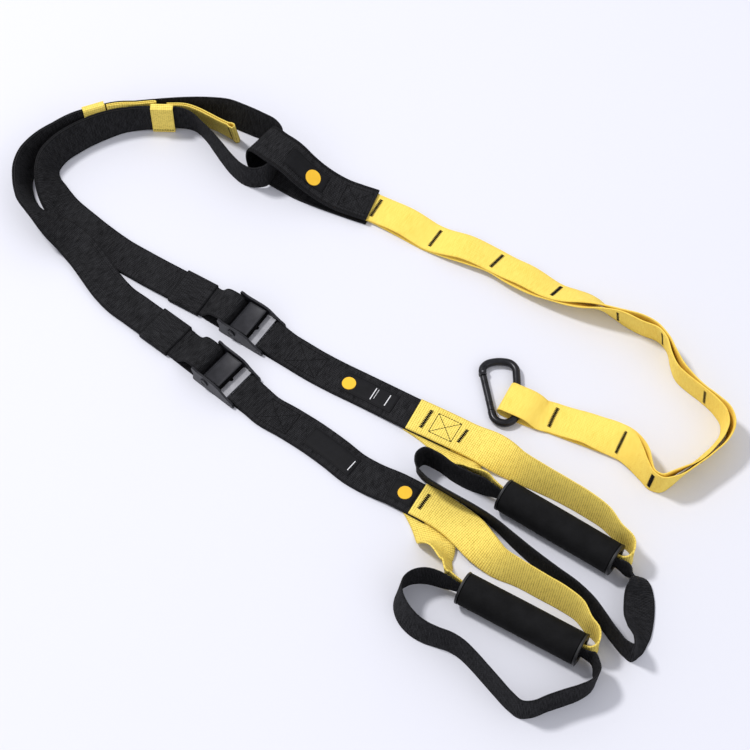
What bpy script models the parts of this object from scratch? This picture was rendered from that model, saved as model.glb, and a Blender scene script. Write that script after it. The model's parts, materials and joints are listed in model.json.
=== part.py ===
# Suspension trainer, laid out on a flat floor: a daisy-chain anchor strap with its carabiner,
# a padded equalizer loop, one long main strap with two cam buckles, and two handles with
# foam grips and foot cradles.  Metres, +Z up, the floor at z = 0.
import math

import bmesh
import bpy
import numpy as np
from mathutils import Matrix, Vector

# Clearances and floor plan
FIT = 0.0003              # gap kept between pieces that touch
RUN_FIT = 0.0008          # gap on each side of a piece that slides or turns
LAY_SPAN = 1.0            # side of the floor square that the route shares are shares of
STATION = 0.012           # longest step along a strap
BEND_STEP = math.radians(22.0)    # largest turn between two steps of a strap
TWIST_STEP = math.radians(5.0)    # largest change of lean between two steps
CUT_OVER = 0.001          # how far a cutter runs past what it cuts

# Webbing
WEB_WIDTH = 0.038
WEB_THICK = 0.0016
ANCHOR_WIDTH = 0.036
LAYER = WEB_THICK + FIT   # height from one lying layer to the next
LOOSE = 0.0005            # more room where two layers are not sewn together
GATHER_SHARE = 0.54       # width left where webbing is gathered into a grip's bore

# Equalizer loop
EQ_WIDTH = 0.043
EQ_THICK = 0.0024

# Anchor strap
TACK_PITCH = 0.077        # from one bar tack to the next
POCKET_GAPE = 0.0045      # how far the two layers stand apart between tacks

# Carabiner
ROD_RADIUS = 0.0042
CARABINER_LONG = 0.082
CARABINER_WIDE = 0.045
CARABINER_NOSE_WIDE = 0.034
GATE_RADIUS = 0.0037
GATE_LENGTH = 0.044
TONGUE_THICK = 0.0030
TONGUE_LENGTH = 0.0075
PIN_RADIUS = 0.0010
ROD_STEP = 0.0080         # longest step along the rod
ROD_BEND = math.radians(18.0)

# Keepers and adjusters
KEEPER_LENGTH = 0.038
KEEPER_WALL = 0.0012
KEEPER_TRAVEL = 0.025
SLEEVE_LENGTH = 0.025
SLEEVE_WALL = 0.0014
LEAN_SPARE = 0.0010       # extra height for the sleeve that leans

# Cam buckle
BUCKLE_LENGTH = 0.058
BUCKLE_WALL = 0.0024
WALL_HIGH = 0.0205
WALL_LOW = 0.0085
BASE_THICK = 0.0020
BASE_END = 0.0082         # from the buckle's middle to the edge that the strap turns round
AXLE_RADIUS = 0.0016
AXLE_AT = -0.0120
CAM_RADIUS = 0.0052
LEVER_REACH = 0.0175
LEVER_THICK = 0.0018
BAR_RADIUS = 0.0025
BAR_AT = 0.0215
STOP_LENGTH = 0.0100
STOP_THICK = 0.0015
STOP_AT = 0.0100
HUMP_HEIGHT = 0.0200
HUMP_LENGTH = 0.0400

# Grips
GRIP_LENGTH = 0.133
FOAM_RADIUS = 0.0170
CAP_RADIUS = 0.0175
TUBE_OUTER = 0.0130
TUBE_INNER = 0.0120
BORE_RADIUS = 0.0110
CAP_THICK = 0.0025
CAP_SPIGOT = 0.0080
STRAP_APART = 0.0020      # from the grip's axis to each strap inside it

# Label patches
PATCH_THICK = 0.0008
PATCH_WIDE = 0.021

BUCKLE_INNER = WEB_WIDTH + 2 * RUN_FIT
KEEPER_LIFT = (KEEPER_WALL + FIT) / LAYER
SLEEVE_LIFT = (SLEEVE_WALL + RUN_FIT) / LAYER
TILTED_LIFT = SLEEVE_LIFT + LEAN_SPARE / LAYER
EQ_LIFT = (EQ_THICK + FIT + FIT) / LAYER
SEWN_LIFT = (EQ_THICK + FIT) / LAYER

# Places, as shares of the floor square: x, y, and a heading in degrees
BUCKLE_1_SHARES = (-0.1300, 0.0560, -34.5)
BUCKLE_2_SHARES = (-0.1550, -0.0065, -40.5)
GRIP_1_SHARES = (0.1845, -0.1860, -33.7)
GRIP_2_SHARES = (0.1435, -0.2855, -30.2)
FOLD_SHARES = (0.1400, -0.0330, -27.5)
CARABINER_SHARES = (0.1485, -0.0240)
SLEEVE_1_SHARES = (-0.2370, 0.3210)
SLEEVE_2_SHARES = (-0.3110, 0.3180)

# Strap routes: x share, y share, lean in degrees (0 lies flat, 90 stands on its right edge),
# and the lift of the lower edge above the floor in layers of webbing
LEG_1_SHARES = (
    (-0.2560, 0.1370, 0, 0.40), (-0.2760, 0.1505, 0, 0.0), (-0.3010, 0.1705, 0, 0.0),
    (-0.3260, 0.1930, 0, 0.0), (-0.3430, 0.2095, 6, 0.0), (-0.3550, 0.2265, 26, 0.0),
    (-0.3620, 0.2440, 50, 0.0), (-0.3620, 0.2610, 64, 0.0), (-0.3525, 0.2780, 71, 0.0),
    (-0.3330, 0.2950, 73, 0.0), (-0.3050, 0.3110, 78, 0.0), (-0.2760, 0.3205, 86, 0.0),
    (-0.2580, 0.3211, 88, SLEEVE_LIFT), (-0.2370, 0.3210, 90, SLEEVE_LIFT),
    (-0.2180, 0.3200, 90, SLEEVE_LIFT), (-0.2040, 0.3165, 95, 0.0), (-0.1905, 0.3030, 95, 0.0),
    (-0.1805, 0.2895, 91, 0.0), (-0.1700, 0.2740, 88, 0.0), (-0.1575, 0.2565, 88, 0.0),
    (-0.1450, 0.2440, 90, 0.2))
NECK_SHARES = (
    (-0.1320, 0.2385, 93, 0.9), (-0.1205, 0.2405, 90, EQ_LIFT), (-0.1135, 0.2500, 90, EQ_LIFT),
    (-0.1090, 0.2625, 90, EQ_LIFT), (-0.1045, 0.2755, 90, EQ_LIFT), (-0.1030, 0.2890, 92, EQ_LIFT),
    (-0.1110, 0.3010, 98, 0.9), (-0.1270, 0.3110, 104, 0.2))
LEG_2_SHARES = (
    (-0.1470, 0.3215, 106, 0.0), (-0.1640, 0.3295, 104, 0.0), (-0.1850, 0.3330, 100, 0.0),
    (-0.2130, 0.3340, 96, 0.0), (-0.2400, 0.3325, 94, 0.0), (-0.2680, 0.3290, 95, 0.0),
    (-0.2900, 0.3245, 98, TILTED_LIFT), (-0.3120, 0.3175, 101, TILTED_LIFT),
    (-0.3350, 0.3080, 105, TILTED_LIFT), (-0.3540, 0.2975, 108, 0.0), (-0.3730, 0.2820, 110, 0.0),
    (-0.3850, 0.2650, 111, 0.0), (-0.3895, 0.2470, 112, 0.0), (-0.3880, 0.2290, 114, 0.2),
    (-0.3815, 0.2090, 119, 1.8), (-0.3675, 0.1890, 130, 5.4), (-0.3495, 0.1760, 155, 3.8),
    (-0.3310, 0.1645, 174, 2.6), (-0.3160, 0.1485, 184, 1.7), (-0.3020, 0.1285, 187, 0.8),
    (-0.2870, 0.1070, 184, 0.5), (-0.2720, 0.0905, 180, 0.7))
ANCHOR_SHARES = (
    (0.0300, 0.1920, 0, 0.25), (0.0590, 0.1735, 0, 0.0), (0.0800, 0.1620, -6, 0.0),
    (0.1040, 0.1510, -11, 0.0), (0.1280, 0.1395, -14, 0.0), (0.1520, 0.1220, -16, 0.0),
    (0.1750, 0.1070, -20, 0.0), (0.1940, 0.0960, -28, 0.0), (0.2110, 0.0880, -34, 0.0),
    (0.2300, 0.0795, -46, 0.0), (0.2470, 0.0695, -66, 0.0), (0.2640, 0.0600, -80, 0.0),
    (0.2840, 0.0500, -82, 0.0), (0.2990, 0.0410, -82, 0.0), (0.3085, 0.0270, -82, 0.0),
    (0.3130, 0.0090, -84, 0.0), (0.3180, -0.0060, -86, 0.0), (0.3280, -0.0195, -86, 0.0),
    (0.3405, -0.0330, -86, 0.0), (0.3530, -0.0460, -88, 0.0), (0.3620, -0.0600, -92, 0.0),
    (0.3625, -0.0750, -98, 0.0), (0.3550, -0.0890, -104, 0.0), (0.3430, -0.1010, -108, 0.0),
    (0.3300, -0.1120, -110, 0.0), (0.3150, -0.1225, -108, 0.0), (0.3010, -0.1320, -100, 0.0),
    (0.2900, -0.1370, -92, 0.0), (0.2810, -0.1330, -86, 0.0), (0.2750, -0.1210, -80, 0.0),
    (0.2690, -0.1070, -68, 0.0), (0.2600, -0.0935, -50, 0.0), (0.2450, -0.0810, -26, 0.0),
    (0.2270, -0.0710, -4, 0.0), (0.2060, -0.0620, 0, 0.0), (0.1850, -0.0530, 0, 0.0))
LOWER_1_SHARES = (
    (-0.0885, 0.0275, 0, 0.0), (-0.0615, 0.0090, 0, 0.0), (-0.0400, -0.0040, 0, 0.0),
    (-0.0165, -0.0170, 0, 0.0), (0.0090, -0.0315, 0, 0.3), (0.0345, -0.0465, 0, 1.0),
    (0.0600, -0.0605, 0, 1.0), (0.0740, -0.0680, 0, 1.1), (0.0860, -0.0745, 0, 1.2))
LOWER_2_SHARES = (
    (-0.1150, -0.0415, 0, 0.0), (-0.0895, -0.0585, 0, 0.0), (-0.0665, -0.0745, 0, 0.0),
    (-0.0415, -0.0945, 0, 0.0), (-0.0210, -0.1125, 0, 0.0), (-0.0020, -0.1245, 0, 0.2),
    (0.0220, -0.1365, 0, 0.8), (0.0400, -0.1470, 0, 1.0), (0.0590, -0.1585, 0, 1.0))
RUN_1_SHARES = (
    (0.0400, -0.0500, 0, 3.0), (0.0600, -0.0605, 0, 3.1), (0.0800, -0.0715, 0, 3.3),
    (0.0980, -0.0820, 0, 3.9), (0.1140, -0.0930, 12, 4.4), (0.1290, -0.1045, 36, 2.2),
    (0.1450, -0.1165, 57, 0.0), (0.1700, -0.1325, 69, 0.0), (0.1940, -0.1475, 74, 0.0),
    (0.2150, -0.1620, 76, 0.0), (0.2320, -0.1765, 80, 0.0), (0.2430, -0.1920, 86, 0.0))
BACK_1_SHARES = (
    (0.1000, -0.1240, 70, 0.0), (0.0930, -0.1145, 42, 0.0),
    (0.0870, -0.1035, 10, 0.0), (0.0800, -0.0900, 0, 0.0), (0.0710, -0.0770, 0, 0.0),
    (0.0570, -0.0630, 0, 0.0), (0.0400, -0.0500, 0, 0.0))
RUN_2_SHARES = (
    (0.0430, -0.1485, 0, 3.0), (0.0590, -0.1580, 0, 3.0), (0.0750, -0.1700, 0, 3.6),
    (0.0920, -0.1880, 13, 4.0), (0.1070, -0.2080, 38, 2.2), (0.1220, -0.2240, 58, 0.2),
    (0.1410, -0.2360, 70, 0.0), (0.1650, -0.2515, 74, 0.0), (0.1860, -0.2650, 76, 0.0),
    (0.2010, -0.2780, 80, 0.0), (0.2085, -0.2920, 86, 0.0))
BACK_2_SHARES = (
    (0.0705, -0.2290, 72, 0.0), (0.0665, -0.2150, 60, 0.0), (0.0630, -0.2030, 34, 0.0),
    (0.0600, -0.1925, 6, 0.0), (0.0575, -0.1820, 0, 0.0), (0.0530, -0.1690, 0, 0.0),
    (0.0480, -0.1580, 0, 0.0), (0.0430, -0.1485, 0, 0.0))
CRADLE_1_SHARES = (
    (0.2585, -0.2420, 122, 0.0), (0.2610, -0.2560, 143, 0.0), (0.2600, -0.2720, 147, 0.0),
    (0.2580, -0.2870, 142, 0.0), (0.2560, -0.3010, 126, 0.0), (0.2545, -0.3140, 106, 0.0),
    (0.2500, -0.3220, 94, 0.0), (0.2435, -0.3180, 90, 0.0), (0.2350, -0.3070, 90, 0.0),
    (0.2250, -0.2910, 91, 0.0), (0.2135, -0.2725, 91, 0.0), (0.1990, -0.2560, 90, 0.0),
    (0.1790, -0.2395, 90, 0.0), (0.1560, -0.2190, 88, 0.0), (0.1380, -0.2015, 86, 0.0),
    (0.1215, -0.1845, 82, 0.0), (0.1035, -0.1690, 77, 0.0), (0.0850, -0.1550, 72, 0.0),
    (0.0680, -0.1440, 72, 0.0), (0.0530, -0.1335, 74, 0.0), (0.0435, -0.1225, 80, 0.0),
    (0.0425, -0.1125, 88, 0.0), (0.0490, -0.1065, 90, 0.0), (0.0630, -0.1120, 90, 0.0),
    (0.0800, -0.1255, 90, 0.0), (0.0960, -0.1350, 90, 0.0))
CRADLE_2_SHARES = (
    (0.2130, -0.3360, 86, 0.0), (0.2145, -0.3465, 86, 0.0), (0.2080, -0.3560, 89, 0.0),
    (0.1970, -0.3625, 92, 0.0), (0.1820, -0.3680, 94, 0.0), (0.1650, -0.3740, 94, 0.0),
    (0.1500, -0.3800, 94, 0.0), (0.1390, -0.3800, 95, 0.0), (0.1300, -0.3725, 96, 0.0),
    (0.1170, -0.3570, 97, 0.0), (0.1050, -0.3420, 97, 0.0), (0.0940, -0.3285, 97, 0.0),
    (0.0840, -0.3180, 97, 0.0), (0.0730, -0.3105, 97, 0.0), (0.0600, -0.3055, 98, 0.0),
    (0.0470, -0.2995, 101, 0.0), (0.0355, -0.2905, 104, 0.0), (0.0265, -0.2780, 105, 0.0),
    (0.0225, -0.2640, 102, 0.0), (0.0255, -0.2500, 97, 0.0), (0.0355, -0.2420, 93, 0.0),
    (0.0490, -0.2400, 90, 0.0))
TAIL_1_SHARES = (
    (-0.2320, 0.3268, 90, 0.0), (-0.2100, 0.3270, 94, 0.0), (-0.1950, 0.3230, 100, 0.0),
    (-0.1820, 0.3165, 103, 0.0), (-0.1700, 0.3090, 103, 0.0), (-0.1610, 0.3035, 102, 0.0))
EQUALIZER_SHARES = (       # x share, y share, and how far the top layer has risen
    (-0.0025, 0.2100, 0.0), (-0.0190, 0.2165, 0.0), (-0.0370, 0.2240, 0.02),
    (-0.0520, 0.2305, 0.16), (-0.0660, 0.2370, 0.38), (-0.0790, 0.2435, 0.66),
    (-0.0900, 0.2505, 0.90), (-0.0990, 0.2565, 1.0), (-0.1090, 0.2640, 1.0),
    (-0.1190, 0.2725, 1.0))

COLORS = {
    "black_webbing": ((0.020, 0.020, 0.022), 0.88, 0.0),
    "yellow_anchor": ((0.900, 0.690, 0.150), 0.82, 0.0),
    "yellow_handle": ((0.780, 0.580, 0.110), 0.85, 0.0),
    "padded_black": ((0.022, 0.022, 0.025), 0.80, 0.0),
    "foam": ((0.012, 0.012, 0.013), 0.92, 0.0),
    "moulded_black": ((0.030, 0.030, 0.034), 0.45, 0.0),
    "buckle_black": ((0.045, 0.045, 0.055), 0.38, 0.6),
    "steel_grey": ((0.300, 0.300, 0.330), 0.35, 0.9),
    "anodised_black": ((0.022, 0.022, 0.026), 0.28, 0.8),
    "label": ((0.030, 0.030, 0.032), 0.55, 0.0),
}


def clear_scene():
    for item in list(bpy.data.objects):
        bpy.data.objects.remove(item, do_unlink=True)
    for group in list(bpy.data.collections):
        bpy.data.collections.remove(group)


def make_collection(name):
    group = bpy.data.collections.new(name)
    bpy.context.scene.collection.children.link(group)
    return group


clear_scene()
PARTS = make_collection("suspension_trainer")
CUTTERS = make_collection("cutters")


def material(name):
    found = bpy.data.materials.get(name)
    if found:
        return found
    color, rough, metal = COLORS[name]
    made = bpy.data.materials.new(name)
    made.use_nodes = True
    shader = made.node_tree.nodes["Principled BSDF"]
    shader.inputs["Base Color"].default_value = (*color, 1.0)
    shader.inputs["Roughness"].default_value = rough
    shader.inputs["Metallic"].default_value = metal
    made.diffuse_color = (*color, 1.0)
    return made


def add_object(name, mesh, finish, group=None, smooth=None):
    made = bpy.data.objects.new(name, mesh)
    (group or PARTS).objects.link(made)
    if finish:
        mesh.materials.append(material(finish))
    if smooth:
        mesh.shade_smooth()
        mesh.set_sharp_from_angle(angle=math.radians(smooth))
    return made


def heading_frame(shares, height=0.0):
    """Matrix with +X along the heading, +Y to its left and +Z up."""
    x, y, heading = shares
    move = Matrix.Translation((x * LAY_SPAN, y * LAY_SPAN, height))
    return move @ Matrix.Rotation(math.radians(heading), 4, "Z")


# Strap tools

def spline(rows, step=STATION, turn=BEND_STEP):
    """Smooth curve through rows whose first three columns are a position."""
    rows = np.asarray(rows, float)
    gaps = np.linalg.norm(np.diff(rows[:, :3], axis=0), axis=1)
    slopes = np.diff(rows, axis=0) / gaps[:, None]
    tangents = np.empty_like(rows)
    tangents[0] = slopes[0]
    tangents[-1] = slopes[-1]
    before, after = gaps[:-1, None], gaps[1:, None]
    tangents[1:-1] = (slopes[:-1] * after + slopes[1:] * before) / (before + after)
    out = []
    for i, gap in enumerate(gaps):
        start = tangents[i, :3] / np.linalg.norm(tangents[i, :3])
        end = tangents[i + 1, :3] / np.linalg.norm(tangents[i + 1, :3])
        angle = math.acos(max(-1.0, min(1.0, float(start @ end))))
        twist = 0.0
        if rows.shape[1] > 5:
            left = rows[i, 3:6] / np.linalg.norm(rows[i, 3:6])
            right = rows[i + 1, 3:6] / np.linalg.norm(rows[i + 1, 3:6])
            twist = math.acos(max(-1.0, min(1.0, float(left @ right))))
        count = max(1, math.ceil(gap / step), math.ceil(angle / turn), math.ceil(twist / TWIST_STEP))
        for k in range(count):
            t = k / count
            out.append((2 * t**3 - 3 * t**2 + 1) * rows[i] + (t**3 - 2 * t**2 + t) * gap * tangents[i]
                       + (3 * t**2 - 2 * t**3) * rows[i + 1] + (t**3 - t**2) * gap * tangents[i + 1])
    out.append(rows[-1])
    return np.array(out)


def lay(shares, width=WEB_WIDTH, thick=WEB_THICK):
    """Stations of a strap laid along the floor: position, across vector, gather share."""
    rows = np.array(shares, float)
    plan = rows[:, :2] * LAY_SPAN
    gaps = np.linalg.norm(np.diff(plan, axis=0), axis=1)[:, None]
    slopes = np.diff(plan, axis=0) / gaps
    heading = np.vstack([slopes[:1], (slopes[:-1] * gaps[1:] + slopes[1:] * gaps[:-1])
                         / (gaps[:-1] + gaps[1:]), slopes[-1:]])
    heading /= np.linalg.norm(heading, axis=1)[:, None]
    lean = np.radians(rows[:, 2])
    lift = rows[:, 3] * LAYER
    height = lift + thick / 2 * np.abs(np.cos(lean)) + width / 2 * np.abs(np.sin(lean))
    across = np.stack([-heading[:, 1] * np.cos(lean), heading[:, 0] * np.cos(lean), np.sin(lean)], 1)
    return np.hstack([plan, height[:, None], across, np.ones((len(rows), 1))])


def local_rows(frame, points, across=(0.0, 1.0, 0.0), gather=1.0):
    """Stations given in a local frame, with one across direction."""
    side = np.array(frame.to_3x3() @ Vector(across))
    return np.array([[*(frame @ Vector(p)), *side, gather] for p in points])


def frames_of(rows):
    """Tangent, across and face directions at every station."""
    rows = np.asarray(rows, float)
    tangent = np.gradient(rows[:, :3], axis=0)
    tangent /= np.linalg.norm(tangent, axis=1)[:, None]
    across = rows[:, 3:6] - tangent * np.sum(tangent * rows[:, 3:6], axis=1)[:, None]
    across /= np.linalg.norm(across, axis=1)[:, None]
    return tangent, across, np.cross(tangent, across)


def offset(rows, distance):
    """The same stations moved along the strap's face direction."""
    _, across, face = frames_of(rows)
    moved = rows.copy()
    moved[:, :3] += face * np.asarray(distance).reshape(-1, 1)
    moved[:, 3:6] = across
    return moved


def settle(rows, width, thick):
    """Raise any station whose lower corner would be under the floor."""
    _, across, face = frames_of(rows)
    low = rows[:, 2] - width / 2 * np.abs(across[:, 2]) * rows[:, 6] - thick / 2 * np.abs(face[:, 2])
    moved = rows.copy()
    moved[:, 2] += np.maximum(0.0, -low)
    return moved


def stretch(rows, start, end):
    """The stations between two lengths along the strap."""
    gaps = np.linalg.norm(np.diff(rows[:, :3], axis=0), axis=1)
    along = np.concatenate([[0.0], np.cumsum(gaps)])
    inner = [t for t in along if start < t < end]
    places = np.array([start, *inner, end])
    return np.stack([np.interp(places, along, rows[:, i]) for i in range(rows.shape[1])], 1)


def strap(name, rows, finish, width=WEB_WIDTH, thick=WEB_THICK, lanes=1):
    """A ribbon of webbing along the stations: a laid grid given its thickness by Solidify."""
    _, across, _ = frames_of(rows)
    count = len(rows)
    bm = bmesh.new()
    bmesh.ops.create_grid(bm, x_segments=count - 1, y_segments=lanes, size=1.0)
    for vert in bm.verts:
        i = round((vert.co.x + 1.0) / 2.0 * (count - 1))
        vert.co = Vector(rows[i, :3] + across[i] * vert.co.y * width / 2 * rows[i, 6])
    mesh = bpy.data.meshes.new(name)
    bm.to_mesh(mesh)
    bm.free()
    made = add_object(name, mesh, finish)
    skin = made.modifiers.new("webbing", "SOLIDIFY")
    skin.thickness = thick
    skin.offset = 0.0
    skin.use_even_offset = True
    lengths = np.linalg.norm(np.diff(rows[:, :3], axis=0), axis=1)
    print(f"{name}: {lengths.sum():.3f} m long, {count} stations")
    return made


# Solid tools

def finish_mesh(bm, name):
    bmesh.ops.recalc_face_normals(bm, faces=bm.faces)
    mesh = bpy.data.meshes.new(name)
    bm.to_mesh(mesh)
    bm.free()
    return mesh


def cylinder(name, radius, length, finish, matrix, group=None, sides=24):
    bm = bmesh.new()
    bmesh.ops.create_cone(bm, cap_ends=True, segments=sides, radius1=radius, radius2=radius,
                          depth=length)
    made = add_object(name, finish_mesh(bm, name), finish, group, 40)
    made.matrix_world = matrix
    return made


def box(name, low, high, finish, matrix, group=None):
    bm = bmesh.new()
    bmesh.ops.create_cube(bm, size=1.0)
    size = Vector(high) - Vector(low)
    middle = (Vector(high) + Vector(low)) / 2
    bmesh.ops.transform(bm, matrix=Matrix.Translation(middle) @ Matrix.Diagonal((*size, 1.0)),
                        verts=bm.verts)
    made = add_object(name, finish_mesh(bm, name), finish, group)
    made.matrix_world = matrix
    return made


def prism(name, outline, low, high, finish, matrix, group=None):
    """An outline in the local XZ plane, extruded along local Y."""
    bm = bmesh.new()
    verts = [bm.verts.new((x, low, z)) for x, z in outline]
    bmesh.ops.contextual_create(bm, geom=verts)
    pushed = bmesh.ops.extrude_face_region(bm, geom=bm.faces[:])
    moving = [item for item in pushed["geom"] if isinstance(item, bmesh.types.BMVert)]
    bmesh.ops.translate(bm, vec=(0, high - low, 0), verts=moving)
    made = add_object(name, finish_mesh(bm, name), finish, group, 30)
    made.matrix_world = matrix
    return made


def lathe(name, outline, finish, matrix, steps=28):
    """A closed outline (place along local X, radius) spun round local X."""
    bm = bmesh.new()
    verts = [bm.verts.new((x, 0, radius)) for x, radius in outline]
    edges = [bm.edges.new((verts[i], verts[(i + 1) % len(verts)])) for i in range(len(verts))]
    bmesh.ops.spin(bm, geom=verts + edges, cent=(0, 0, 0), axis=(1, 0, 0),
                   angle=math.tau, steps=steps, use_merge=True)
    made = add_object(name, finish_mesh(bm, name), finish, None, 35)
    made.matrix_world = matrix
    return made


def sweep(name, points, radius, finish, matrix, sides=14):
    """A round rod along local points, with flat ends."""
    points = np.asarray(points, float)
    tangents = np.gradient(points, axis=0)
    bm = bmesh.new()
    rings = []
    for i, (point, tangent) in enumerate(zip(points, tangents)):
        ends = i in (0, len(points) - 1)
        turn = Vector(tangent).normalized()
        side = Vector((0, 0, 1)).cross(turn).normalized()
        frame = Matrix((side, turn.cross(side), turn)).transposed().to_4x4()
        frame = Matrix.Translation(point) @ frame
        ring = bmesh.ops.create_circle(bm, cap_ends=ends, segments=sides, radius=radius,
                                       matrix=frame)
        rings.append(list({edge for vert in ring["verts"] for edge in vert.link_edges}))
    for a, b in zip(rings, rings[1:]):
        bmesh.ops.bridge_loops(bm, edges=a + b)
    made = add_object(name, finish_mesh(bm, name), finish, None, 50)
    made.matrix_world = matrix
    return made


def carve(made, cutter, mode="DIFFERENCE"):
    cutter.hide_render = True
    cutter.display_type = "WIRE"
    cut = made.modifiers.new(cutter.name, "BOOLEAN")
    cut.operation = mode
    cut.solver = "EXACT"
    cut.object = cutter


def turned(matrix, axis):
    """The matrix turned so that local Z of a cylinder lies along local X or Y."""
    angle = math.pi / 2
    if axis == "X":
        return matrix @ Matrix.Rotation(angle, 4, "Y")
    return matrix @ Matrix.Rotation(-angle, 4, "X")


def arc(x, z, radius, start, end, steps):
    """Points on an arc in a local XZ plane, angles in degrees from +X toward +Z."""
    angles = np.radians(np.linspace(start, end, steps + 1))
    return [(x + radius * math.cos(t), z + radius * math.sin(t)) for t in angles]


# Cam buckles

RETURN_Z = WEB_THICK + FIT + BASE_THICK + FIT + WEB_THICK / 2
LOAD_Z = WEB_THICK / 2
TURN_RADIUS = (RETURN_Z - LOAD_Z) / 2
AXLE_Z = RETURN_Z + WEB_THICK / 2 + FIT + CAM_RADIUS
BAR_Z = WEB_THICK + FIT + BAR_RADIUS
BAR_TURN = BAR_RADIUS + FIT + WEB_THICK / 2
LEVER_TOP = AXLE_Z + CAM_RADIUS + LEVER_THICK
STOP_Z = RETURN_Z + WEB_THICK / 2 + LEVER_THICK
TAPER_SHARE = 0.12        # where the walls start to fall, as a share of the buckle's length
HOOK_SHARE = 0.10         # how far the raised corners stand above the walls
LEVER_BACK = 0.0030       # how far the lever's plate reaches behind the axle
AXLE_HEAD = 0.0026
AXLE_HEAD_THICK = 0.0008
STOP_TAB = 0.0050
SLOT_FIT = FIT


def buckle(number, shares):
    here = heading_frame(shares)
    back = -BUCKLE_LENGTH * 0.52
    front = back + BUCKLE_LENGTH
    inner = BUCKLE_INNER / 2
    outer = inner + BUCKLE_WALL
    corner = WALL_HIGH * (1 + HOOK_SHARE)
    outline = [(back, 0), (front, 0), (front, WALL_LOW * 0.7), (front - WALL_LOW * 0.3, WALL_LOW),
               (BUCKLE_LENGTH * TAPER_SHARE, WALL_HIGH * 0.93), (0, WALL_HIGH),
               (back + WALL_HIGH * 0.3, WALL_HIGH), (back, corner)]
    frame = prism(f"buckle_frame_{number}", outline, -outer, outer, "buckle_black", here)
    over = WALL_HIGH + WALL_HIGH
    carve(frame, box(f"cut_channel_{number}", (back - CUT_OVER, -inner, WEB_THICK + FIT + BASE_THICK),
                     (front + CUT_OVER, inner, over), None, here, CUTTERS))
    carve(frame, box(f"cut_under_{number}", (back - CUT_OVER, -inner, -CUT_OVER),
                     (front + CUT_OVER, inner, WEB_THICK + FIT), None, here, CUTTERS))
    carve(frame, box(f"cut_mouth_{number}", (BASE_END, -inner, -CUT_OVER),
                     (front + CUT_OVER, inner, over), None, here, CUTTERS))
    reach = 2 * outer + 2 * CUT_OVER
    for label, radius, x, z in (("axle", AXLE_RADIUS, AXLE_AT, AXLE_Z), ("bar", BAR_RADIUS, BAR_AT, BAR_Z)):
        place = turned(here @ Matrix.Translation((x, 0, z)), "Y")
        carve(frame, cylinder(f"cut_{label}_{number}", radius + FIT, reach, None, place, CUTTERS))
    slot = STOP_TAB / 2 + SLOT_FIT
    carve(frame, box(f"cut_slot_{number}", (STOP_AT - slot, -outer - CUT_OVER, STOP_Z - SLOT_FIT),
                     (STOP_AT + slot, outer + CUT_OVER, STOP_Z + STOP_THICK + SLOT_FIT),
                     None, here, CUTTERS))

    head = outer + FIT + AXLE_HEAD_THICK
    place = here @ Matrix.Translation((AXLE_AT, 0, AXLE_Z)) @ Matrix.Rotation(math.pi / 2, 4, "Z")
    axle_body = cylinder(f"cam_axle_{number}", AXLE_RADIUS, 2 * head, "steel_grey", turned(place, "X"))
    for side in (-1, 1):
        middle = side * (outer + FIT + AXLE_HEAD_THICK / 2)
        cap = cylinder(f"add_head_{number}_{'ab'[side > 0]}", AXLE_HEAD, AXLE_HEAD_THICK, None,
                       turned(place @ Matrix.Translation((middle, 0, 0)), "X"), CUTTERS)
        carve(axle_body, cap, "UNION")

    plate_z = CAM_RADIUS - FIT
    neck = CAM_RADIUS * 0.8
    lever_outline = [(-LEVER_BACK, plate_z + LEVER_THICK), (-LEVER_BACK - LEVER_THICK, plate_z)]
    lever_outline += arc(0, 0, CAM_RADIUS, 135, 345, 14)
    lever_outline += [(neck + LEVER_THICK, plate_z * 0.55), (neck + 3 * LEVER_THICK, plate_z),
                      (LEVER_REACH, plate_z), (LEVER_REACH, plate_z + LEVER_THICK)]
    pivot = here @ Matrix.Translation((AXLE_AT, 0, AXLE_Z))
    wide = inner - RUN_FIT - RUN_FIT
    lever = prism(f"cam_lever_{number}", lever_outline, -wide, wide, "buckle_black", pivot)
    carve(lever, cylinder(f"cut_bore_{number}", AXLE_RADIUS + FIT, 2 * outer, None,
                          turned(pivot, "Y"), CUTTERS))

    plate_side = inner - FIT
    plate = box(f"stop_plate_{number}", (STOP_AT - STOP_LENGTH / 2, -plate_side, STOP_Z),
                (STOP_AT + STOP_LENGTH / 2, plate_side, STOP_Z + STOP_THICK), "steel_grey", here)
    carve(plate, box(f"add_tab_{number}", (STOP_AT - STOP_TAB / 2, -outer, STOP_Z),
                     (STOP_AT + STOP_TAB / 2, outer, STOP_Z + STOP_THICK), None, here, CUTTERS),
          "UNION")
    cylinder(f"strap_bar_{number}", BAR_RADIUS, 2 * outer, "buckle_black",
             turned(here @ Matrix.Translation((BAR_AT, 0, BAR_Z)), "Y"))
    return here


HUMP_SHARES = (            # along the hump from the buckle's jaw, and height, as shares of it
    (0.00, 0.00), (0.035, 0.02), (0.09, 0.16), (0.135, 0.45), (0.20, 0.80), (0.31, 0.97),
    (0.46, 1.00), (0.62, 0.95), (0.74, 0.74), (0.82, 0.44), (0.92, 0.16))
JAW_AT = -0.0165           # where the strap leaves the cam's jaw


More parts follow.
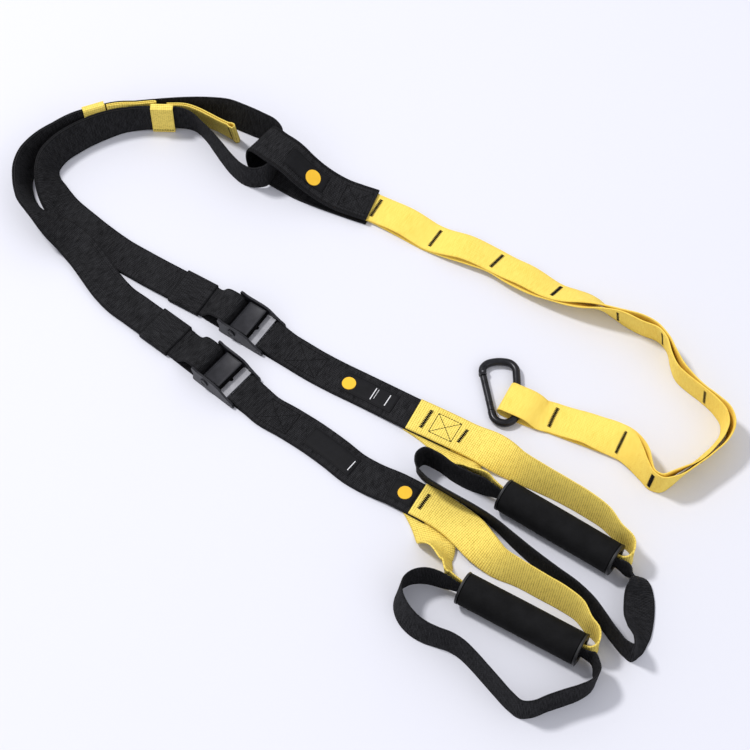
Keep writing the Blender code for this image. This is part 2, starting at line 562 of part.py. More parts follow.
def leg_end(frame):
    """Load layer from the buckle's turn, and the turn with the return layer and its hump."""
    across = (0, -1, 0)
    load = local_rows(frame, [(BASE_END, 0, LOAD_Z), (-BUCKLE_LENGTH / 3, 0, LOAD_Z),
                              (JAW_AT - HUMP_LENGTH * 0.75, 0, LOAD_Z)], across)
    turn = [(x, 0, z) for x, z in arc(BASE_END, (LOAD_Z + RETURN_Z) / 2, TURN_RADIUS, -90, 90, 6)]
    low = LAYER + LOAD_Z
    hump = [(BASE_END / 2, 0, RETURN_Z), (AXLE_AT, 0, RETURN_Z)]
    for along, rise in HUMP_SHARES:
        base = RETURN_Z + (low - RETURN_Z) * along
        hump.append((JAW_AT - HUMP_LENGTH * along, 0, base + (HUMP_HEIGHT - RETURN_Z) * rise))
    return load, local_rows(frame, turn[1:] + hump, across)


frame_1 = buckle(1, BUCKLE_1_SHARES)
frame_2 = buckle(2, BUCKLE_2_SHARES)
load_1, turn_1 = leg_end(frame_1)
load_2, turn_2 = leg_end(frame_2)

# Keepers

KEEPER_REACH = KEEPER_LENGTH / 2 + FIT
KEEPER_INSIDE = 2 * WEB_THICK + 2 * FIT + LOOSE + RUN_FIT


def keeper(number, frame, from_buckle, bend):
    here = frame @ Matrix.Translation((-from_buckle, 0, 0)) @ Matrix.Rotation(math.radians(bend), 4, "Z")
    here = here @ Matrix.Translation((-KEEPER_LENGTH / 2, 0, 0))
    half = WEB_WIDTH / 2 + RUN_FIT
    ring = box(f"keeper_{number}", (-KEEPER_LENGTH / 2, -half - KEEPER_WALL, 0),
               (KEEPER_LENGTH / 2, half + KEEPER_WALL, KEEPER_INSIDE + 2 * KEEPER_WALL),
               "black_webbing", here)
    carve(ring, box(f"cut_keeper_{number}", (-KEEPER_LENGTH / 2 - CUT_OVER, -half, KEEPER_WALL),
                    (KEEPER_LENGTH / 2 + CUT_OVER, half, KEEPER_WALL + KEEPER_INSIDE),
                    None, here, CUTTERS))
    height = KEEPER_LIFT * LAYER + WEB_THICK / 2
    reach = -KEEPER_REACH - KEEPER_TRAVEL
    return local_rows(here, [(KEEPER_REACH, 0, height), (-KEEPER_REACH, 0, height), (reach, 0, height)],
                      (0, -1, 0))


KEEPER_FROM_1 = 0.0595    # from each buckle's middle to its keeper's near end
KEEPER_FROM_2 = 0.0695
held_1 = keeper(1, frame_1, KEEPER_FROM_1, 3.5)
held_2 = keeper(2, frame_2, KEEPER_FROM_2, 1.5)


# Main strap

def nearest(rows, shares):
    """Index of the station nearest to a plan place."""
    place = np.array(shares[:2]) * LAY_SPAN
    return int(np.argmin(np.linalg.norm(rows[:, :2] - place, axis=1)))


leg_1 = np.vstack([load_1, held_1, lay(LEG_1_SHARES)])
middle = lay(LEG_1_SHARES[-1:] + NECK_SHARES + LEG_2_SHARES[:1])[1:-1]
leg_2 = np.vstack([lay(LEG_2_SHARES), held_2[::-1], load_2[::-1]])
load = settle(spline(np.vstack([leg_1, middle, leg_2])), WEB_WIDTH, WEB_THICK)
half = len(load) // 2
first = nearest(load[:half], held_1[0] / LAY_SPAN)
sleeve_1 = nearest(load[:half], SLEEVE_1_SHARES)
sleeve_2 = half + nearest(load[half:], SLEEVE_2_SHARES)
last = half + nearest(load[half:], held_2[0] / LAY_SPAN)
back_1 = offset(load, LAYER + LOOSE)[first:sleeve_1 + 1]
back_2 = offset(load, -LAYER - LOOSE)[sleeve_2:last + 1]
ends_1 = spline(np.vstack([load_1[:1], turn_1, back_1[:1]]))[1:-1]
ends_2 = spline(np.vstack([load_2[:1], turn_2, back_2[-1:]]))[1:-1]
strap("main_strap", np.vstack([back_1[::-1], ends_1[::-1], load, ends_2, back_2[::-1]]),
      "black_webbing", lanes=2)


def sleeve(number, index, side):
    """A yellow band round both layers at one station of the load layer."""
    tangent, across, face = (v[index] for v in frames_of(load))
    here = Matrix((tangent, across, face)).transposed().to_4x4()
    centre = load[index, :3] + face * side * (LAYER + LOOSE) / 2
    here = Matrix.Translation(centre) @ here
    wide = WEB_WIDTH / 2 + RUN_FIT
    deep = WEB_THICK + (FIT + LOOSE) / 2 + RUN_FIT + FIT
    wall = SLEEVE_WALL
    band = box(f"adjuster_sleeve_{number}", (-SLEEVE_LENGTH / 2, -wide - wall, -deep - wall),
               (SLEEVE_LENGTH / 2, wide + wall, deep + wall), "yellow_handle", here)
    carve(band, box(f"cut_sleeve_{number}", (-SLEEVE_LENGTH / 2 - CUT_OVER, -wide, -deep),
                    (SLEEVE_LENGTH / 2 + CUT_OVER, wide, deep), None, here, CUTTERS))


sleeve(1, sleeve_1, 1)
sleeve(2, sleeve_2, -1)


def folded_tail(name, rows, loop):
    """A short strap folded on itself, with a small loop left at the fold."""
    tangent, across, face = (v[-1] for v in frames_of(rows))
    near = offset(rows, (LAYER + LOOSE) / 2)
    far = offset(rows, -(LAYER + LOOSE) / 2)
    bulge = []
    for along, side in ((1.2, 0.9), (2.2, 1.0), (3.0, 0.0), (2.2, -1.0), (1.2, -0.9)):
        place = rows[-1, :3] + tangent * loop * along + face * side * loop
        bulge.append([*place, *across, 1.0])
    both = settle(np.vstack([near, bulge, far[::-1]]), WEB_WIDTH, WEB_THICK)
    strap(name, both, "yellow_handle")


TAIL_LOOP = 0.0028
REAR_TAIL = 0.054
PAIR_THICK = LAYER + LOOSE + WEB_THICK
tail_1 = lay(TAIL_1_SHARES, WEB_WIDTH, PAIR_THICK)
folded_tail("adjuster_tail_1", settle(spline(tail_1), WEB_WIDTH, PAIR_THICK), TAIL_LOOP)
along_rear = stretch(load[half:sleeve_2 + 1][::-1], SLEEVE_LENGTH / 2 + 2 * RUN_FIT,
                     SLEEVE_LENGTH / 2 + REAR_TAIL)
along_rear = offset(along_rear, WEB_THICK / 2 + FIT + PAIR_THICK / 2)
folded_tail("adjuster_tail_2", along_rear, LAYER / 2)

# Anchor strap with its loop round the carabiner's spine

SPINE_Z = WEB_THICK + FIT + ROD_RADIUS
SPINE_TURN = ROD_RADIUS + FIT + WEB_THICK / 2
LOOP_OPEN = 0.0245        # how far the upper layer stays up past the turn
LOOP_SETTLE = 0.0180      # length over which it comes down to the first tack

sewn = np.array(EQUALIZER_SHARES)
inside = tuple((x, y, 0, SEWN_LIFT) for x, y in sewn[[2, 1, 0], :2])
centre = settle(spline(lay(inside + ANCHOR_SHARES, ANCHOR_WIDTH, PAIR_THICK)), ANCHOR_WIDTH, PAIR_THICK)
along = np.concatenate([[0.0], np.cumsum(np.linalg.norm(np.diff(centre[:, :3], axis=0), axis=1))])
sewn_length = along[nearest(centre[:8], (sewn[0, 0], sewn[0, 1]))]
pockets = np.sin(math.pi * np.clip(along - sewn_length, 0, None) / TACK_PITCH) ** 2
tail_tacks = along > along[-1] - TACK_PITCH / 2
pockets[tail_tacks] = 0.0
upright = np.abs(centre[:, 5])
gape = POCKET_GAPE * pockets
apart = (LAYER + LOOSE * upright) / 2
lower = settle(offset(centre, -(apart + gape / 2 * upright)), ANCHOR_WIDTH, WEB_THICK)
upper = settle(offset(centre, apart + gape * (1 - upright / 2)), ANCHOR_WIDTH, WEB_THICK)
fold_frame = heading_frame(FOLD_SHARES)
side = (0, -1, 0)
turn = [(-x, 0, z) for x, z in arc(0, LOAD_Z + SPINE_TURN, SPINE_TURN, -90, 90, 7)]
high = LOAD_Z + 2 * SPINE_TURN
settled = LOOP_OPEN + LOOP_SETTLE
loop = local_rows(fold_frame, [(LOOP_OPEN, 0, LOAD_Z), (SPINE_TURN / 2, 0, LOAD_Z)] + turn
                  + [(SPINE_TURN / 2, 0, high), (LOOP_OPEN, 0, high),
                     (LOOP_OPEN + LOOP_SETTLE * 0.3, 0, high * 0.82),
                     (LOOP_OPEN + LOOP_SETTLE * 0.7, 0, high * 0.42)], side)
joined = spline(np.vstack([lower[-2:], loop, upper[:-3:-1]]))
start = nearest(joined[:6], lower[-1] / LAY_SPAN)
stop = len(joined) - 1 - nearest(joined[::-1][:6], upper[-1] / LAY_SPAN)
strap("anchor_strap", np.vstack([lower[:-1], joined[start:stop + 1], upper[-2::-1]]),
      "yellow_anchor", ANCHOR_WIDTH, lanes=2)

# Equalizer loop

TOP_SEWN = 1.5 * EQ_THICK + 2 * WEB_THICK + 3 * FIT + LOOSE + LOOSE
TOP_ARCH = EQ_THICK + 2 * FIT + WEB_WIDTH + 2 * FIT + EQ_THICK / 2
EQ_TURN = 0.0115          # radius of the loop's outer turn
plan = np.array([(x, y, 0, 0) for x, y, _ in EQUALIZER_SHARES])
base = lay(plan, EQ_WIDTH, EQ_THICK)
top = base.copy()
top[:, 2] = TOP_SEWN + (TOP_ARCH - TOP_SEWN) * sewn[:, 2]
tip = base[-1, :2]
turn_heading = math.degrees(math.atan2(*(tip - base[-2, :2])[::-1]))
tip_frame = heading_frame((*(tip / LAY_SPAN), turn_heading))
low_arc = arc(0, EQ_THICK / 2 + EQ_TURN, EQ_TURN, -90, 0, 3)
high_arc = arc(0, TOP_ARCH - EQ_TURN, EQ_TURN, 0, 90, 3)
cheek = local_rows(tip_frame, [(x, 0, z) for x, z in low_arc[1:] + high_arc[:-1]])
equalizer = settle(spline(np.vstack([base, cheek, top[::-1]])), EQ_WIDTH, EQ_THICK)
strap("equalizer_loop", equalizer, "padded_black", EQ_WIDTH, EQ_THICK)


PATCH_SHARES = {           # where each label starts and ends along its strap
    "equalizer_patch": (0.0580, 0.1110),
    "label_patch_1": (0.0700, 0.1330),
    "label_patch_2": (0.0650, 0.1260),
    "label_patch_3": (0.1700, 0.1970),
}


def patch(name, rows, rise):
    """A thin label on a strap's face."""
    start, end = PATCH_SHARES[name]
    cut = stretch(rows, start * LAY_SPAN, end * LAY_SPAN)
    strap(name, offset(cut, rise), "label", PATCH_WIDE, PATCH_THICK)


eq_top = spline(top)
patch("equalizer_patch", eq_top, EQ_THICK / 2 + 2 * FIT + PATCH_THICK / 2)

# Carabiner, drawn flat about its spine: X from the spine, Y along it

SPREAD = CARABINER_WIDE - 2 * ROD_RADIUS
REACH = CARABINER_LONG / 2 - ROD_RADIUS
NOSE_SPREAD = CARABINER_NOSE_WIDE - 2 * ROD_RADIUS
HINGE_SHARES = (-0.97, 0.66)          # of the spread and of the reach
BODY_SHARES = (
    (-0.97, 0.66), (-0.965, 0.78), (-0.85, 0.93), (-0.62, 1.0), (-0.38, 1.0), (-0.15, 0.93),
    (-0.02, 0.76), (0.0, 0.52), (0.0, 0.0), (0.0, -0.56), (-0.04, -0.76), (-0.18, -0.93),
    (-0.38, -1.0), (-0.56, -0.95), (-0.69, -0.82), (-0.745, -0.62))
hinge = Vector((HINGE_SHARES[0] * SPREAD, HINGE_SHARES[1] * REACH, 0))
tilt = math.asin((SPINE_Z - ROD_RADIUS) / SPREAD)
spine_frame = Matrix.Translation((CARABINER_SHARES[0] * LAY_SPAN, CARABINER_SHARES[1] * LAY_SPAN, SPINE_Z))
spine_frame = spine_frame @ Matrix.Rotation(-tilt, 4, "Y")
body_rows = spline([(x * SPREAD, y * REACH, 0.0) for x, y in BODY_SHARES], ROD_STEP, ROD_BEND)
nose = Vector(body_rows[-1])
body = sweep("carabiner_body", body_rows, ROD_RADIUS, "anodised_black", spine_frame)
pin_frame = spine_frame @ Matrix.Translation(hinge)
boss = cylinder("add_boss", ROD_RADIUS, 2 * ROD_RADIUS * 0.95, None, pin_frame, CUTTERS)
carve(body, boss, "UNION")
tongue_end = ROD_RADIUS - FIT
carve(body, cylinder("cut_fork", ROD_RADIUS + FIT, TONGUE_THICK + 2 * FIT, None, pin_frame, CUTTERS))
carve(body, cylinder("cut_pin", PIN_RADIUS + FIT, 4 * ROD_RADIUS, None, pin_frame, CUTTERS, 16))
cylinder("gate_hinge_pin", PIN_RADIUS, 2 * ROD_RADIUS * 0.93, "steel_grey", pin_frame, None, 16)
aim = nose - hinge
gate_angle = math.atan2(aim.y, aim.x)
gate_length = aim.length - FIT - FIT
gate_frame = pin_frame @ Matrix.Rotation(gate_angle, 4, "Z")
shoulder = ROD_RADIUS + 2 * FIT
gate = lathe("carabiner_gate", [(shoulder, PIN_RADIUS), (gate_length, PIN_RADIUS),
                                (gate_length, GATE_RADIUS), (shoulder, GATE_RADIUS)],
             "anodised_black", gate_frame, 20)
fill = cylinder("add_core", PIN_RADIUS + FIT, gate_length - shoulder, None,
                turned(gate_frame @ Matrix.Translation(((gate_length + shoulder) / 2, 0, 0)), "X"),
                CUTTERS, 16)
carve(gate, fill, "UNION")
carve(gate, cylinder("add_tongue_round", tongue_end - FIT, TONGUE_THICK, None, gate_frame, CUTTERS), "UNION")
carve(gate, box("add_tongue", (0, -tongue_end * 0.75, -TONGUE_THICK / 2),
                (shoulder + GATE_RADIUS, tongue_end * 0.75, TONGUE_THICK / 2), None, gate_frame, CUTTERS),
      "UNION")
carve(gate, cylinder("cut_gate_pin", PIN_RADIUS + FIT, 4 * ROD_RADIUS, None, gate_frame, CUTTERS, 16))


# Lower straps, folded round the buckles' bars

FOLD_DROP = 0.0200        # length over which the upper layer comes down from the bar


def lower_strap(number, frame, shares):
    reach = BAR_AT + BAR_TURN
    level = BAR_Z + BAR_TURN
    start = local_rows(frame, [(BAR_AT, 0, LOAD_Z), (reach + FOLD_DROP, 0, LOAD_Z)], (0, 1, 0))
    base = settle(spline(np.vstack([start, lay(shares)])), WEB_WIDTH, WEB_THICK)
    landing = nearest(base, start[1] / LAY_SPAN)
    top = offset(base, LAYER)[landing:]
    turn = [(x, 0, z) for x, z in arc(BAR_AT, BAR_Z, BAR_TURN, 270, 90, 7)]
    mid = (level + LAYER + LOAD_Z) / 2
    fold = turn[1:] + [(BAR_AT + BAR_RADIUS, 0, level), (reach + FOLD_DROP / 2, 0, mid)]
    bend = spline(np.vstack([start[:1], local_rows(frame, fold, (0, 1, 0)), top[:1]]))[1:-1]
    strap(f"lower_strap_{number}", np.vstack([base[::-1], bend, top]), "black_webbing")
    return top


lower_top_1 = lower_strap(1, frame_1, LOWER_1_SHARES)
lower_top_2 = lower_strap(2, frame_2, LOWER_2_SHARES)
LABEL_RISE = WEB_THICK / 2 + FIT + PATCH_THICK / 2
patch("label_patch_1", lower_top_1, LABEL_RISE)
patch("label_patch_2", lower_top_2, LABEL_RISE)
patch("label_patch_3", lower_top_2, LABEL_RISE)


# Grips, with the straps that run through them

MOUTH_SHARES = (           # beyond the mouth, to the side, and width left
    (0.20, 0.52, 1.0), (0.30, 0.31, 0.94), (0.27, 0.13, 0.80), (0.17, 0.060, 0.65),
    (0.06, 0.053, GATHER_SHARE))
CRADLE_TUCK = 0.0180      # how far a foot cradle's ends reach inside the grip


def grip(number, shares):
    here = heading_frame(shares, CAP_RADIUS)
    end = GRIP_LENGTH / 2
    flange = end - CAP_THICK
    lathe(f"grip_tube_{number}", [(-flange + FIT, TUBE_INNER), (flange - FIT, TUBE_INNER),
                                  (flange - FIT, TUBE_OUTER), (-flange + FIT, TUBE_OUTER)],
          "moulded_black", here)
    lathe(f"grip_foam_{number}", [(-flange + FIT, TUBE_OUTER + FIT), (flange - FIT, TUBE_OUTER + FIT),
                                  (flange - FIT, FOAM_RADIUS), (-flange + FIT, FOAM_RADIUS)],
          "foam", here)
    for label, way in (("inner", -1), ("outer", 1)):
        face, back, tip = way * end, way * flange, way * (flange - CAP_SPIGOT)
        edge = CAP_THICK * 0.3
        lathe(f"grip_cap_{label}_{number}",
              [(face, BORE_RADIUS + edge), (face - way * edge, BORE_RADIUS), (tip, BORE_RADIUS),
               (tip, TUBE_INNER - FIT), (back, TUBE_INNER - FIT), (back, CAP_RADIUS),
               (face - way * edge, CAP_RADIUS), (face, CAP_RADIUS - edge)],
              "moulded_black", here)
    return here


def through(frame, way, side, shares, inner):
    """Stations from outside a grip's mouth to inside it; way is +1 at the outer end."""
    end = GRIP_LENGTH / 2
    rows = []
    for beyond, lateral, width in shares:
        extra = max(0.0, lateral - shares[-1][1]) * WEB_WIDTH
        point = (way * (end + beyond * WEB_WIDTH), side * (STRAP_APART + extra), 0)
        rows.append(local_rows(frame, [point], (0, 0, 1), width)[0])
    for x in inner:
        rows.append(local_rows(frame, [(x, side * STRAP_APART, 0)], (0, 0, 1), GATHER_SHARE)[0])
    return np.array(rows)


OPENING_SHARES = ((0.55, 0.045, 0.94), (0.34, 0.012, 0.78), (0.08, 0.0, GATHER_SHARE))


def handle(number, shares, run, back, cradle):
    here = grip(number, shares)
    end = GRIP_LENGTH / 2
    into = through(here, 1, 1, MOUTH_SHARES, [end / 2, -end / 2])
    out = through(here, -1, 1, OPENING_SHARES, [])[::-1]
    rows = settle(spline(np.vstack([lay(run), into, out, lay(back)])), WEB_WIDTH, WEB_THICK)
    strap(f"handle_strap_{number}", rows, "yellow_handle")
    tuck = end - CRADLE_TUCK
    start = through(here, 1, -1, OPENING_SHARES[1:], [tuck])[::-1]
    finish = through(here, -1, -1, OPENING_SHARES, [-tuck])
    rows = settle(spline(np.vstack([start, lay(cradle), finish])), WEB_WIDTH, WEB_THICK)
    strap(f"foot_cradle_{number}", rows, "black_webbing")


handle(1, GRIP_1_SHARES, RUN_1_SHARES, BACK_1_SHARES, CRADLE_1_SHARES)
handle(2, GRIP_2_SHARES, RUN_2_SHARES, BACK_2_SHARES, CRADLE_2_SHARES)

# The whole lay-out, centred on the origin with its lowest point at the floor

LAY_SHIFT_SHARES = (0.0146, 0.0228, 0.0001)
shift = Matrix.Translation(Vector(LAY_SHIFT_SHARES) * LAY_SPAN)
for made in [*PARTS.objects, *CUTTERS.objects]:
    made.matrix_world = shift @ made.matrix_world
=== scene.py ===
# Suspension trainer laid out on a pale floor, dressed for the camera
import json
import math

import bmesh
import bpy
import numpy as np
from mathutils import Matrix, Vector

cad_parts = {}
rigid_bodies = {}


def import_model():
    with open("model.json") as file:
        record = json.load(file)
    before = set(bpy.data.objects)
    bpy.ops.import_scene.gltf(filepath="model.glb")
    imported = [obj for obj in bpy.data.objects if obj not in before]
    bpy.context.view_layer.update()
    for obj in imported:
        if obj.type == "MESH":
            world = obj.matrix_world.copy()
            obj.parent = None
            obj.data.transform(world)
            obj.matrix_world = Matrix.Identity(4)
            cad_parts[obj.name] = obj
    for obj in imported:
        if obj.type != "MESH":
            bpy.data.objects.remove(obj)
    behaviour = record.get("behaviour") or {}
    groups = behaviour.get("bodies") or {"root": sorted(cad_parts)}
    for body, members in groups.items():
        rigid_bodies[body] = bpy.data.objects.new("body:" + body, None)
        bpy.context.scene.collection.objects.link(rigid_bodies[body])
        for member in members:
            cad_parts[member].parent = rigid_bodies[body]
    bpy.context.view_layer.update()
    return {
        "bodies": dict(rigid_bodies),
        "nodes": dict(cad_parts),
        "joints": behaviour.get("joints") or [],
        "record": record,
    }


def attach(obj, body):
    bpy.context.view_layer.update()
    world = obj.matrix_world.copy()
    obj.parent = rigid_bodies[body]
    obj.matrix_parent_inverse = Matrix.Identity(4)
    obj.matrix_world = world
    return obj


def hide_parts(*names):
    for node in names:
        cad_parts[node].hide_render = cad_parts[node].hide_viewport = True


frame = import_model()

nodes = frame["nodes"]
floorShift = (0.0146, 0.0228, 0.0001)    # from the drawing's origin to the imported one

# Camera, floor and lights

studio = {
    "elevation": 60.0, "distance": 2.25, "lens": 102.6, "sensor": 36.0,
    "floorColor": (0.72, 0.726, 0.79), "floorRough": 0.7, "floorGloss": 0.2, "floorReach": 6.0,
    "floorDrop": 0.0003, "skyColor": (0.95, 0.955, 1.0), "skyStrength": 0.72,
}
lamps = {    # place, width, power and colour of each light
    "keyLight": ((-2.9, 1.6, 5.1), 0.9, 235.0, (1.0, 0.99, 0.98)),
    "fillLight": ((3.8, -3.2, 4.4), 4.8, 52.0, (0.95, 0.97, 1.0)),
}


def linked(name, data):
    item = bpy.data.objects.new(name, data)
    bpy.context.scene.collection.objects.link(item)
    return item


def meshFrom(name, bm):
    mesh = bpy.data.meshes.new(name)
    bm.to_mesh(mesh)
    bm.free()
    return mesh


def aimedLight(name, place, width, power, color):
    # a round lamp turned towards the object
    data = bpy.data.lights.new(name, "AREA")
    data.shape = "DISK"
    data.size = width
    data.energy = power
    data.color = color
    lamp = linked(name, data)
    lamp.location = place
    lamp.rotation_euler = (-Vector(place)).to_track_quat("-Z", "Y").to_euler()


def setStage():
    rise = math.radians(studio["elevation"])
    reach = studio["distance"]
    view = bpy.data.cameras.new("studioView")
    view.lens = studio["lens"]
    view.sensor_width = studio["sensor"]
    camera = linked("studioCamera", view)
    camera.location = Vector(floorShift) + Vector((0, -reach * math.cos(rise), reach * math.sin(rise)))
    camera.rotation_euler = (math.pi / 2 - rise, 0, 0)
    bpy.context.scene.camera = camera
    bm = bmesh.new()
    bmesh.ops.create_grid(bm, x_segments=2, y_segments=2, size=studio["floorReach"],
                          matrix=Matrix.Translation((0, 0, -studio["floorDrop"])))
    ground = linked("studioFloor", meshFrom("studioFloor", bm))
    paper = bpy.data.materials.new("floorPaper")
    paper.use_nodes = True
    shader = paper.node_tree.nodes["Principled BSDF"]
    shader.inputs["Base Color"].default_value = (*studio["floorColor"], 1.0)
    shader.inputs["Roughness"].default_value = studio["floorRough"]
    shader.inputs["Specular IOR Level"].default_value = studio["floorGloss"]
    ground.data.materials.append(paper)
    for name, lamp in lamps.items():
        aimedLight(name, *lamp)
    sky = bpy.data.worlds.new("studioSky")
    bpy.context.scene.world = sky
    sky.use_nodes = True
    glow = sky.node_tree.nodes["Background"]
    glow.inputs["Color"].default_value = (*studio["skyColor"], 1.0)
    glow.inputs["Strength"].default_value = studio["skyStrength"]
    bpy.context.scene.view_settings.view_transform = "Standard"


setStage()
print("stage: camera, floor and lights")

# Materials


def nodeMath(operation, reflected=False):
    # a method of Flow that adds one Math node
    def apply(flow, *others):
        parts = (*others, flow) if reflected else (flow, *others)
        return flow.finish.node("ShaderNodeMath", {"operation": operation}, dict(enumerate(parts)))
    return apply


class Flow:
    # a shader socket that can be used in plain arithmetic
    def __init__(self, finish, socket):
        self.finish = finish
        self.socket = socket

    __add__ = __radd__ = nodeMath("ADD")
    __sub__, __rsub__ = nodeMath("SUBTRACT"), nodeMath("SUBTRACT", True)
    __mul__ = __rmul__ = nodeMath("MULTIPLY")
    __truediv__, __rtruediv__ = nodeMath("DIVIDE"), nodeMath("DIVIDE", True)
    __pow__ = nodeMath("POWER")
    __gt__ = nodeMath("GREATER_THAN")
    sine = nodeMath("SINE")
    size = nodeMath("ABSOLUTE")
    fraction = nodeMath("FRACT")

    def between(self, low, high):
        # 0 below low, 1 above high, smooth between
        return self.finish.node("ShaderNodeMapRange", {"interpolation_type": "SMOOTHSTEP"},
                                {"Value": self, "From Min": low, "From Max": high})


class Finish:
    # one Principled material and the nodes that feed it
    def __init__(self, name, rough, metal, gloss):
        self.material = bpy.data.materials.new(name)
        self.material.use_nodes = True
        self.tree = self.material.node_tree
        self.shader = self.tree.nodes["Principled BSDF"]
        for key, value in (("Roughness", rough), ("Metallic", metal), ("Specular IOR Level", gloss)):
            self.shader.inputs[key].default_value = value

    def node(self, kind, settings=None, inputs=None, output=0):
        # settings first, then a value or a link for each socket named
        made = self.tree.nodes.new(kind)
        for key, value in (settings or {}).items():
            setattr(made, key, value)
        for key, value in (inputs or {}).items():
            if isinstance(value, Flow):
                self.tree.links.new(value.socket, made.inputs[key])
            else:
                made.inputs[key].default_value = value
        return Flow(self, made.outputs[output])

    def blend(self, share, low, high):
        # colour mix: sockets 6 and 7 take the colours, output 2 gives the result
        low, high = ((*color, 1.0) if isinstance(color, tuple) else color for color in (low, high))
        return self.node("ShaderNodeMix", {"data_type": "RGBA"}, {0: share, 6: low, 7: high}, 2)

    def strapPlace(self):
        # metres along and across the strap
        spot = self.node("ShaderNodeUVMap", {"uv_map": "strapPlace"})
        return [self.node("ShaderNodeSeparateXYZ", None, {0: spot}, part) for part in (0, 1)]

    def stretched(self, lengths):
        # the strap's own place, counted in threads of these lengths along and across
        spot = self.node("ShaderNodeUVMap", {"uv_map": "strapPlace"})
        return self.node("ShaderNodeVectorMath", {"operation": "DIVIDE"}, {0: spot, 1: (*lengths, 1.0)})

    def place(self):
        return self.node("ShaderNodeTexCoord", None, None, "Object")

    def noise(self, where, scale, detail, rough):
        return self.node("ShaderNodeTexNoise", None,
                         {"Vector": where, "Scale": scale, "Detail": detail, "Roughness": rough}, "Fac")

    def paint(self, color, rough, height, depth, strength):
        bump = self.node("ShaderNodeBump", None, {"Height": height, "Distance": depth, "Strength": strength},
                         "Normal")
        for key, flow in (("Base Color", color), ("Roughness", rough), ("Normal", bump)):
            self.tree.links.new(flow.socket, self.shader.inputs[key])
        return self.material


weave = {    # what all webbing shares, unless its own look says otherwise
    "half": 0.019, "slant": 0.0, "rough": 0.8, "roughSpread": 0.15, "gloss": 0.15, "padShare": 0.75,
    "wear": (38.0, 4.0, 0.6), "wearShare": 0.25, "fuzz": (900.0, 2.0, 0.7), "fuzzHeight": 0.3,
    "border": (0.0052, 0.0044), "borderRib": 0.0013, "borderLevel": 0.6, "rim": (0.0022, 0.0006),
}


def webbingFinish(name, changes):
    # woven strap: pads of yarn with grooves between, laid in a herringbone or a basket
    look = {**weave, **changes}
    finish = Finish(name, look["rough"], 0.0, look["gloss"])
    along, across = finish.strapPlace()
    ribs = (across * (math.pi / look["rib"])).sine().size()
    slant = (across / (look["rib"] * 4.0)).fraction() - 0.5
    picks = ((along / look["pick"] + slant.size() * look["slant"]) * math.pi).sine().size()
    pads = ribs ** look["grid"][0] * picks ** look["grid"][1]
    cells = ((across * (math.pi / look["rib"])).sine() * ((along / look["pick"]) * math.pi).sine()) > 0.0
    wear = finish.noise(finish.place(), *look["wear"])
    fuzz = finish.noise(finish.place(), *look["fuzz"])
    thread = finish.noise(finish.stretched(look["streak"]), 1.0, 2.0, 0.6)
    tone = ((pads * (1.0 - look["check"]) + cells * look["check"]) * look["padShare"]
            + (fuzz - 0.5) * look["speckle"] + (thread - 0.5) * look["uneven"] + wear * look["wearShare"])
    border = across.size().between(*(look["half"] - inwards for inwards in look["border"]))
    ribbed = (across * (math.pi / look["borderRib"])).sine().size() - look["borderLevel"]
    tone = tone + border * ribbed * look["selvedge"]
    color = finish.blend(tone.between(look["low"], look["high"]), look["groove"], look["yarn"])
    # painted shade: the strap's outer edges are blended towards the dark groove colour, as if the rounded
    # edges lay in shade
    rim = across.size().between(*(look["half"] - inwards for inwards in look["rim"]))
    color = finish.blend(rim * look["edge"], color, look["groove"])
    rough = look["rough"] + (fuzz - 0.5) * look["roughSpread"]
    return finish.paint(color, rough, pads + fuzz * look["fuzzHeight"], look["depth"], look["bump"])


blackWebbing = webbingFinish("blackWebbing", {
    "rib": 0.0022, "pick": 0.0015, "grid": (0.1, 0.5), "slant": 0.25, "check": 0.1, "speckle": 0.5,
    "streak": (0.0014, 0.010), "uneven": 1.0, "low": 0.25, "high": 1.1, "groove": (0.0008, 0.0008, 0.0010),
    "yarn": (0.033, 0.033, 0.036), "edge": 0.4, "selvedge": 0.5, "rough": 0.85, "gloss": 0.08,
    "depth": 0.0005, "bump": 0.8})
anchorWebbing = webbingFinish("anchorWebbing", {
    "rib": 0.0016, "pick": 0.0013, "grid": (0.3, 0.35), "check": 0.15, "speckle": 0.25,
    "streak": (0.0014, 0.012), "uneven": 0.6, "low": 0.1, "high": 0.9, "groove": (0.78, 0.48, 0.05),
    "yarn": (0.97, 0.76, 0.165), "half": 0.018, "edge": 0.25, "selvedge": 0.15,
    "depth": 0.0003, "bump": 0.35})
handleWebbing = webbingFinish("handleWebbing", {
    "rib": 0.0023, "pick": 0.0024, "grid": (0.22, 0.5), "check": 0.12, "speckle": 0.4,
    "streak": (0.0027, 0.006), "uneven": 0.7, "low": 0.05, "high": 0.8, "groove": (0.48, 0.31, 0.035),
    "yarn": (0.98, 0.77, 0.17), "edge": 0.3, "selvedge": 0.2, "depth": 0.0006, "bump": 0.7})

foamLook = {
    "pores": (1400.0, 3.0, 0.6), "cloud": (60.0, 3.0, 0.5), "poreShare": 0.6, "cloudShare": 0.4,
    "dark": (0.002, 0.002, 0.0022), "light": (0.0085, 0.0085, 0.0095), "rough": 0.72, "roughSpread": 0.25,
    "gloss": 0.15, "depth": 0.0003, "bump": 0.5,
}


def foamFinish():
    finish = Finish("gripFoam", foamLook["rough"], 0.0, foamLook["gloss"])
    spot = finish.place()
    pores = finish.noise(spot, *foamLook["pores"])
    cloud = finish.noise(spot, *foamLook["cloud"])
    tone = pores * foamLook["poreShare"] + cloud * foamLook["cloudShare"]
    color = finish.blend(tone.between(0.3, 0.7), foamLook["dark"], foamLook["light"])
    rough = foamLook["rough"] + pores * foamLook["roughSpread"]
    height = pores + cloud * foamLook["cloudShare"]
    return finish.paint(color, rough, height, foamLook["depth"], foamLook["bump"])


marks = {"cloud": (90.0, 4.0, 0.6), "span": (0.3, 0.75), "cloudRough": 0.22, "speckRough": 0.1,
         "depth": 0.0001}


